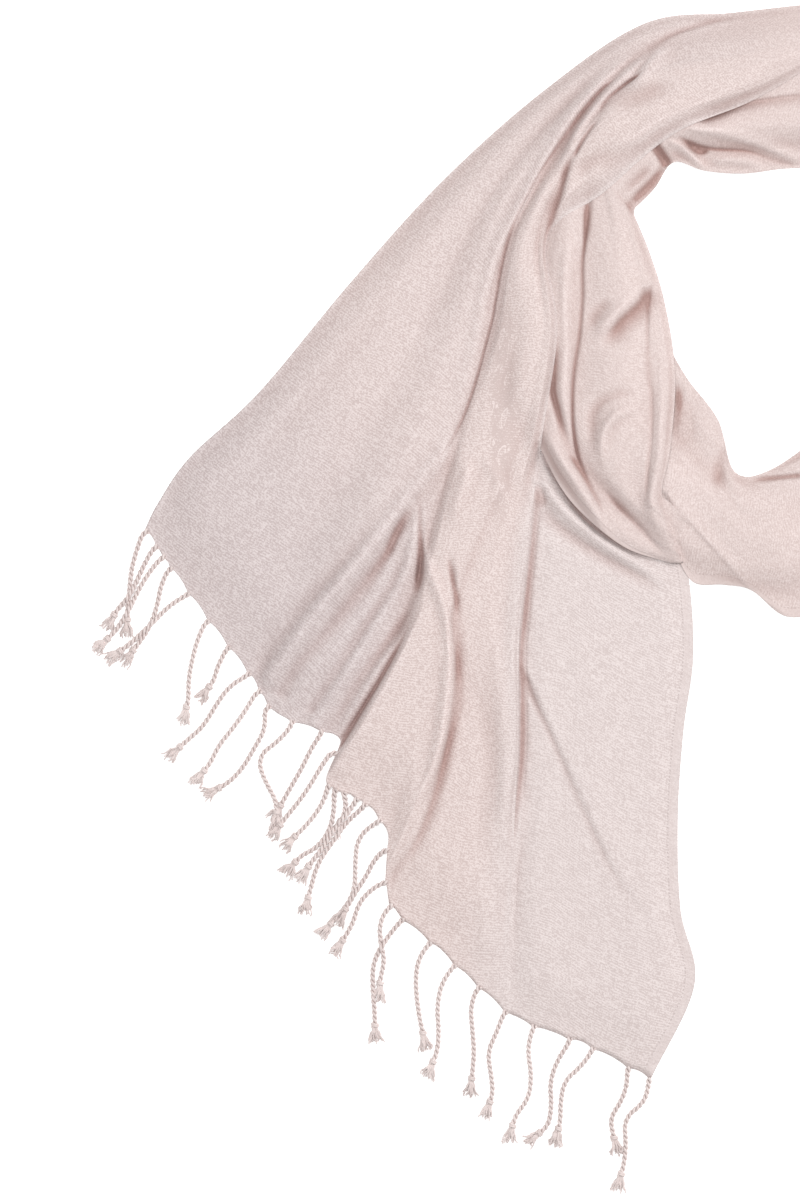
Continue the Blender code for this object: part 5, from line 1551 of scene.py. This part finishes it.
def climb(path, laid):
    """Lifts a strand over those laid before it, with a soft rise and fall."""
    need = np.zeros(len(path))
    for other in laid:
        apart = np.hypot(path[:, None, 1] - other[None, :, 1], path[:, None, 2] - other[None, :, 2])
        rise = np.sqrt(np.maximum(STRAND_DEPTH**2 - apart**2, 0))
        above = np.where(apart < STRAND, other[None, :, 4] + rise, 0)
        need = np.maximum(need, above.max(axis=1))
    height = np.maximum(path[:, 4], need)
    for _ in range(CLIMB_ROUNDS):
        mean = (np.roll(height, 1) + np.roll(height, -1)) / 2
        mean[0], mean[-1] = height[0], height[-1]
        height = np.maximum(np.maximum(need, path[:, 4]), (height + mean) / 2)
    path[:, 4] = height


def hem_directions(hem):
    """The outward direction in plan at each point of a hem that runs with the table on its right."""
    run = np.gradient(hem[:, :2], axis=0)
    for _ in range(HEM_ROUNDS):
        run[1:-1] = (run[:-2] + 2 * run[1:-1] + run[2:]) / 4
    run /= np.hypot(*run.T)[:, None]
    return np.column_stack([run[:, 1], -run[:, 0]])


# %% [markdown]
# All guides of one hem go into one mesh of edges. What the tree needs to know along a strand
# travels with its points: how far the plies stand apart, the distance from the hem, the heading,
# where the knot is, and a number that gives each strand its own tone.

# %% The guides of one hem
ROOT_IN = 1.2  # how far a root reaches into the hem
ROOT_SPREAD, ROOT_SPREAD_FALL = 0.5, 3.0  # the plies stand wider apart at the root
TONE_STEP = 0.37  # from strand to strand


def guides(name, hem, strands):
    """A mesh of one poly line for each strand, with its attributes."""
    reach, out = across_of(hem), hem_directions(hem)
    at, _ = reach_of(hem, np.array([(strand.x, strand.y) for strand in strands], float))
    laid, edges, knot, tone = [], [], [], []
    for k in np.argsort(at):
        start = np.array([np.interp(at[k], reach, line) for line in hem[:, :3].T])
        direction = np.array([np.interp(at[k], reach, line) for line in out.T])
        start[:2] -= direction * ROOT_IN
        path = strand_path(start, direction, strands[k])
        climb(path, laid)
        first = sum(map(len, laid))
        laid.append(path)
        edges += [(first + i, first + i + 1) for i in range(len(path) - 1)]
        knot += [0] * (len(path) - 1) + [1]
        tone += [(TONE_STEP * k) % 1] * len(path)
    away, x, y, heading, height = np.concatenate(laid).T
    piece = bare_object(name, np.column_stack([x, y, height]), edges, [])
    add_attribute(piece.data, "spread", 1 + ROOT_SPREAD * np.exp(-away / ROOT_SPREAD_FALL))
    add_attribute(piece.data, "reach", away * MM)
    add_attribute(piece.data, "heading", heading)
    add_attribute(piece.data, "knot", knot)
    add_attribute(piece.data, "tone", tone)
    return piece


# %% [markdown]
# The yarn is the cloth's own, its tone a little uneven at random, and it changes a little from
# strand to strand. The groove between the two plies is painted darker, as painted shade.

# %% The fringe's yarn
YARN_DEEP, YARN_PALE = (0.60, 0.50, 0.48, 1.0), (0.78, 0.69, 0.67, 1.0)
# Painted shade for the groove between the two plies.
YARN_GROOVE_SHADE = (0.42, 0.31, 0.29, 1.0)


def yarn():
    material, b = new_material("blush fringe yarn")
    place = b.object_place()
    fibres, cloud = b.noise(place, 900.0, 3.0, 0.6), b.noise(place, 120.0, 2.0)
    tone, crown = b.attribute("tone"), b.attribute("crown")
    share = (fibres - 0.5) * 0.9 + (cloud - 0.5) * 0.5 + tone * 0.3
    color = b.blend(b.math("ADD", share, 0.45, clamp=True), YARN_DEEP, YARN_PALE)
    # Painted shade in the groove, from each point's distance to the strand's middle.
    groove = (1 - b.ramp(crown, 0.35, 0.9)) * b.ramp(crown, 0.01, 0.03)
    color = b.blend(groove * 0.75, color, YARN_GROOVE_SHADE)
    finish_material(b, color, 0.55 + (cloud - 0.5) * 0.2, b.bump(0.5, 0.0002, fibres), 0.45)
    return material


fringe_yarn = yarn()
print("material:", fringe_yarn.name)

# %% [markdown]
# The tree that winds the strands has for its inputs the sizes that a maker would ask for: how thick
# a ply is, how long one turn of the twist, how big the knot, and how many fibres fray from it.

# %% The sizes and named values of the tree
SIZES = (
    ("Ply radius", "Float", 1.04 * MM),
    ("Twist pitch", "Float", 7.6 * MM),
    ("Knot radius", "Float", 2.2 * MM),
    ("Fibres", "Int", 40),
    ("Fibre length", "Float", 15.5 * MM),
    ("Seed", "Int", 4),
)
FIBRE_RADIUS = 0.62 * MM
FIBRE_SWAY = 6.5 * MM
PLY_APART = 0.92  # how far a ply's middle winds from the strand's, in ply radii
KNOT_LONG = 3.0 * MM
GUIDE_STEP = 0.9 * MM
TONE_TURN = 9.0  # the tone also turns the twist, so no two strands start alike
FIBRE_LOWEST = 0.45 * MM  # above the table


def named(b, word, kind="FLOAT"):
    return b.geometry("InputNamedAttribute", {"Name": word}, data_type=kind)


def stored(b, geometry, word, value, kind="FLOAT"):
    sockets = {"Geometry": geometry, "Name": word, "Value": value}
    return b.geometry("StoreNamedAttribute", sockets, data_type=kind, domain="POINT")


def tube(b, curve, radius, sides, scale=1.0):
    """A closed tube along curves, with a ring of a few sides."""
    ring = b.geometry("CurvePrimitiveCircle", {"Resolution": sides, "Radius": radius})
    return b.geometry("CurveToMesh", {
        "Curve": curve, "Profile Curve": ring, "Scale": scale, "Fill Caps": True,
    })


# %% [markdown]
# Each ply runs round the guide as a screw: a turn for each pitch, and the second ply half a turn
# behind the first. Every point keeps its distance from the guide, which sets the painted shade in
# the yarn's groove.

# %% Wind the plies
def wound_plies(b, guide, ply, pitch):
    lines = b.geometry("MeshToCurve", {"Mesh": guide})
    lines = b.geometry("ResampleCurve", {"Curve": lines, "Length": GUIDE_STEP}, mode="LENGTH")
    where = b.geometry("InputPosition")
    lines = stored(b, lines, "axis", where, "FLOAT_VECTOR")
    off_axis = b.vector("DISTANCE", where, named(b, "axis", "FLOAT_VECTOR"), output=1)
    tangent = b.geometry("InputTangent")
    side = b.vector("NORMALIZE", b.vector("CROSS_PRODUCT", tangent, (0.0, 0.0, 1.0)))
    upward = b.vector("CROSS_PRODUCT", side, tangent)
    plies = []
    for half_turn in (0.0, math.pi):
        turn = named(b, "reach") / pitch * (2 * math.pi) + half_turn + named(b, "tone") * TONE_TURN
        arm = ply * named(b, "spread") * PLY_APART
        sideways = b.scaled(side, b.math("COSINE", turn) * arm)
        upwards = b.scaled(upward, b.math("SINE", turn) * arm)
        offset = b.vector("ADD", sideways, upwards)
        wound = b.geometry("SetPosition", {"Geometry": lines, "Offset": offset})
        yarns = stored(b, tube(b, wound, ply, 6), "crown", off_axis / (ply * (1 + PLY_APART)))
        plies.append(b.geometry("RemoveAttribute", {"Geometry": yarns, "Name": "axis"}))
    return plies


# %% [markdown]
# At the end of each guide a short coil makes the knot, and a fan of fibres the tuft. The fibres
# are copied, turned and shortened at random with a fixed seed, sway apart, and never sink into
# the table.

# %% Tie the knots and fray the tufts
def tied_knots(b, ends, ply, knot_size):
    facing = b.node("FunctionNodeEulerToRotation", None, {0: b.point(0.0, math.pi / 2, named(b, "heading"))})
    coil = b.geometry("CurveSpiral", {
        "Resolution": 12, "Rotations": 2.4, "Start Radius": knot_size, "End Radius": knot_size * 0.9,
        "Height": KNOT_LONG,
    })
    return b.geometry("InstanceOnPoints", {
        "Points": ends, "Instance": tube(b, coil, ply * 0.85, 6), "Rotation": facing,
    })


def frayed_tufts(b, ends, fibres, fibre_length, seed):
    def scatter(low, high, extra):
        return b.node(
            "FunctionNodeRandomValue", {"data_type": "FLOAT"},
            {"Min_001": low, "Max_001": high, "Seed": seed + extra}, 1,
        )

    copies = b.geometry("DuplicateElements", {"Geometry": ends, "Amount": fibres}, domain="POINT")
    tip = b.point(fibre_length, 0.0, 0.0)
    fibre = b.geometry("CurvePrimitiveLine", {"Start": (0.0, 0.0, 0.0), "End": tip})
    fibre = b.geometry("ResampleCurve", {"Curve": fibre, "Count": 8}, mode="COUNT")
    fibre = stored(b, fibre, "share", b.geometry("SplineParameter"))
    turns = b.point(0.0, scatter(-0.12, 0.16, 1), named(b, "heading") + scatter(-0.42, 0.42, 2))
    turned = b.node("FunctionNodeEulerToRotation", None, {0: turns})
    long = scatter(0.55, 1.0, 3)
    tufts = b.geometry("InstanceOnPoints", {
        "Points": copies, "Instance": fibre, "Rotation": turned, "Scale": b.point(long, long, long),
    })
    tufts = b.geometry("RealizeInstances", {"Geometry": tufts})
    where = b.geometry("InputPosition")
    sway = b.node("ShaderNodeTexNoise", None, {"Vector": where, "Scale": 260.0, "Detail": 1.0}, 1)
    sway = b.scaled(b.vector("SUBTRACT", sway, (0.5, 0.5, 0.5)), named(b, "share") * FIBRE_SWAY)
    tufts = b.geometry("SetPosition", {"Geometry": tufts, "Offset": sway})
    x, y, z = b.node("ShaderNodeSeparateXYZ", None, {0: where}).others(3)
    above = b.point(x, y, b.math("MAXIMUM", z, FIBRE_LOWEST))
    tufts = b.geometry("SetPosition", {"Geometry": tufts, "Position": above})
    return tube(b, tufts, FIBRE_RADIUS, 4, 1.1 - named(b, "share") * 0.4)


# %% [markdown]
# The tree joins plies, knots and tufts, makes real meshes of the copies, and sets the yarn.

# %% The whole tree
def fringe_tree(material):
    tree = bpy.data.node_groups.new("knotted fringe", "GeometryNodeTree")
    inputs = {}
    tree.interface.new_socket("Guides", in_out="INPUT", socket_type="NodeSocketGeometry")
    for word, kind, value in SIZES:
        socket = tree.interface.new_socket(word, in_out="INPUT", socket_type="NodeSocket" + kind)
        socket.default_value = value
        inputs[word] = socket.identifier
    tree.interface.new_socket("Fringe", in_out="OUTPUT", socket_type="NodeSocketGeometry")
    b = Board(tree)
    guide, ply, pitch, knot_size, fibres, fibre_length, seed = b.node("NodeGroupInput").others(1 + len(SIZES))
    at_knot = b.math("GREATER_THAN", named(b, "knot"), 0.5)
    ends = b.geometry("MeshToPoints", {"Mesh": guide, "Selection": at_knot})
    joined_up = tree.nodes.new("GeometryNodeJoinGeometry")
    for part in (
        *wound_plies(b, guide, ply, pitch), tied_knots(b, ends, ply, knot_size),
        frayed_tufts(b, ends, fibres, fibre_length, seed),
    ):
        tree.links.new(part.socket, joined_up.inputs[0])
    done = b.geometry("RealizeInstances", {"Geometry": Term(b, joined_up.outputs[0])})
    done = b.geometry("SetShadeSmooth", {"Geometry": done})
    done = b.geometry("SetMaterial", {"Geometry": done, "Material": material})
    tree.links.new(done.socket, tree.nodes.new("NodeGroupOutput").inputs[0])
    return tree, inputs


tree, tree_inputs = fringe_tree(fringe_yarn)
print("the tree has", len(tree.nodes), "nodes")

# %% [markdown]
# The tree runs as a modifier on the guides. Its result is turned into a plain mesh, and the guides
# are thrown away.

# %% The near fringe
def twist(guide, name, seed):
    """Runs the tree over one set of guides and returns the plain mesh object."""
    modifier = guide.modifiers.new("knotted fringe", "NODES")
    modifier.node_group = tree
    modifier[tree_inputs["Seed"]] = seed
    made = bpy.data.meshes.new_from_object(guide.evaluated_get(bpy.context.evaluated_depsgraph_get()))
    bpy.data.objects.remove(guide)
    made.name = name
    piece = bpy.data.objects.new(name, made)
    bpy.context.scene.collection.objects.link(piece)
    print(name, "has", sum(len(face.vertices) - 2 for face in made.polygons), "triangles")
    return piece


near_hem = np.concatenate([crossing[-1, :, :3], tucked[-1, 1:, :3]])
near_fringe = twist(guides("near guides", near_hem, FRINGE), "near_fringe_strands", seed=4)

# %% [markdown]
# The second fringe is the same, with its roots spaced evenly and each strand wandering a little off
# the square.

# %% The far fringe
FAR_LENGTH = 80.0
FAR_SWAY = 16.0


def even_strands(hem):
    """Strands that stand square to the hem and wander more towards their ends."""
    reach, out = across_of(hem), hem_directions(hem)
    made = []
    for k in range(FAR_STRANDS):
        at = reach[-1] * (k + 0.5) / FAR_STRANDS
        x, y, away_x, away_y = (np.interp(at, reach, line) for line in (*hem[:, :2].T, *out.T))
        square = math.degrees(math.atan2(away_y, away_x)) % 360
        sway = [square + FAR_SWAY * math.sin(1.1 * part + 0.35 * k) * part / 5 for part in range(1, 6)]
        made.append(Strand(x, y, *sway, FAR_LENGTH + 6 * math.sin(2.4 * k)))
    return made


far_hem = back_and_far[0, ::-1, :3]
far_fringe = twist(guides("far guides", far_hem, even_strands(far_hem)), "far_fringe_strands", seed=9)

# %% [markdown]
# ## Tie the pieces to the imported solids
#
# Cloth has no joints here, so every piece rides on the one body. Each stretch replaces the plain
# solids that it dresses, and says how large it was before it was laid.

# %% Ride and replace
DRESSED = (
    (near_end, ("near_end_crossing", "near_end_tucked"), "cloth"),
    (loop_and_far_end, ("loop_left", "loop_back", "far_end"), "cloth"),
    (loop_front, ("loop_front", "loop_right"), "cloth"),
    (hidden, ("hidden_layers",), "cloth"),
    (near_fringe, ("near_fringe",), "fringe"),
    (far_fringe, ("far_fringe",), "fringe"),
)
for piece, nodes, slot in DRESSED:
    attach(piece, "root")
    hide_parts(*nodes)
    area = sum(face.area for face in piece.data.polygons)
    print(piece.name, "area", round(area / 2, 4), "m2 a side")

# %% [markdown]
# ## Floor, light and camera
#
# The shawl is looked at straight from above, on a plain white floor. The floor glows a little, as
# white paper does under bright lamps, so that it stays white in the shade of the cloth.

# %% Floor
FLOOR_HALF = 6
FLOOR_DOWN = 0.4 * MM  # just below the cloth's underside
FLOOR_GLOW = 0.3
FLOOR_GREY, FLOOR_WHITE = (0.93, 0.93, 0.93, 1), (0.95, 0.95, 0.95, 1)

corners = [(x * FLOOR_HALF, y * FLOOR_HALF, -FLOOR_DOWN) for x, y in ((-1, -1), (1, -1), (1, 1), (-1, 1))]
floor_mesh = bpy.data.meshes.new("floor")
floor_mesh.from_pydata(corners, [], [(0, 1, 2, 3)])
floor = bpy.data.objects.new("floor", floor_mesh)
bpy.context.scene.collection.objects.link(floor)
paper, b = new_material("white paper")
grain = b.noise(b.object_place(), 3.0)
bumped = b.node("ShaderNodeBump", None, {"Strength": 0.02, "Height": grain})
shader = finish_material(b, b.blend(grain, FLOOR_GREY, FLOOR_WHITE), 0.8 + grain * 0.1, bumped, 0.0)
shader.inputs["Emission Color"].default_value = (1, 1, 1, 1)
shader.inputs["Emission Strength"].default_value = FLOOR_GLOW
floor_mesh.materials.append(paper)
print("floor", 2 * FLOOR_HALF, "m wide")

# %% [markdown]
# The light is that of a large window: an even sky, one wide lamp high up on the right, and one
# overhead, which keeps the hollows from going dark.

# %% Light
SKY = (1.0, 0.995, 0.99, 1.0)
SKY_STRENGTH = 0.45

world = bpy.data.worlds.new("soft sky")
world.use_nodes = True
world.node_tree.nodes["Background"].inputs["Color"].default_value = SKY
world.node_tree.nodes["Background"].inputs["Strength"].default_value = SKY_STRENGTH
bpy.context.scene.world = world


def lamp(name, place, size, power):
    """A round lamp that looks at the middle of the shawl."""
    light = bpy.data.lights.new(name, "AREA")
    light.shape = "DISK"
    light.size, light.energy = size, power
    thing = bpy.data.objects.new(name, light)
    thing.location = place
    thing.rotation_euler = (-Vector(place)).to_track_quat("-Z", "Y").to_euler()
    thing.visible_camera = False
    bpy.context.scene.collection.objects.link(thing)
    print(name, "lamp of", power, "W at", place)


lamp("window", (2.5, 1.1, 2.6), 2.0, 72)
lamp("ceiling", (-0.5, 0.3, 4.0), 1.4, 81)

# %% [markdown]
# The camera looks straight down from high up with a long lens, so that nothing leans. It takes in
# the spread end and the left half of the loop, as one looks at a shawl to judge its cloth.

# %% Camera
FRAME_LONG = 0.864  # metres of the plan along the long side of the camera's frame
LENS, SENSOR = 200.0, 36.0

camera_data = bpy.data.cameras.new("overhead")
camera_data.lens, camera_data.sensor_width = LENS, SENSOR
camera_data.clip_end = 50.0
camera = bpy.data.objects.new("overhead", camera_data)
camera.location = (SHIFT[0] * MM, SHIFT[1] * MM, FRAME_LONG * LENS / SENSOR)
bpy.context.scene.collection.objects.link(camera)
bpy.context.scene.camera = camera
bpy.context.scene.view_settings.view_transform = "Standard"
print("camera at", [round(c, 3) for c in camera.location])
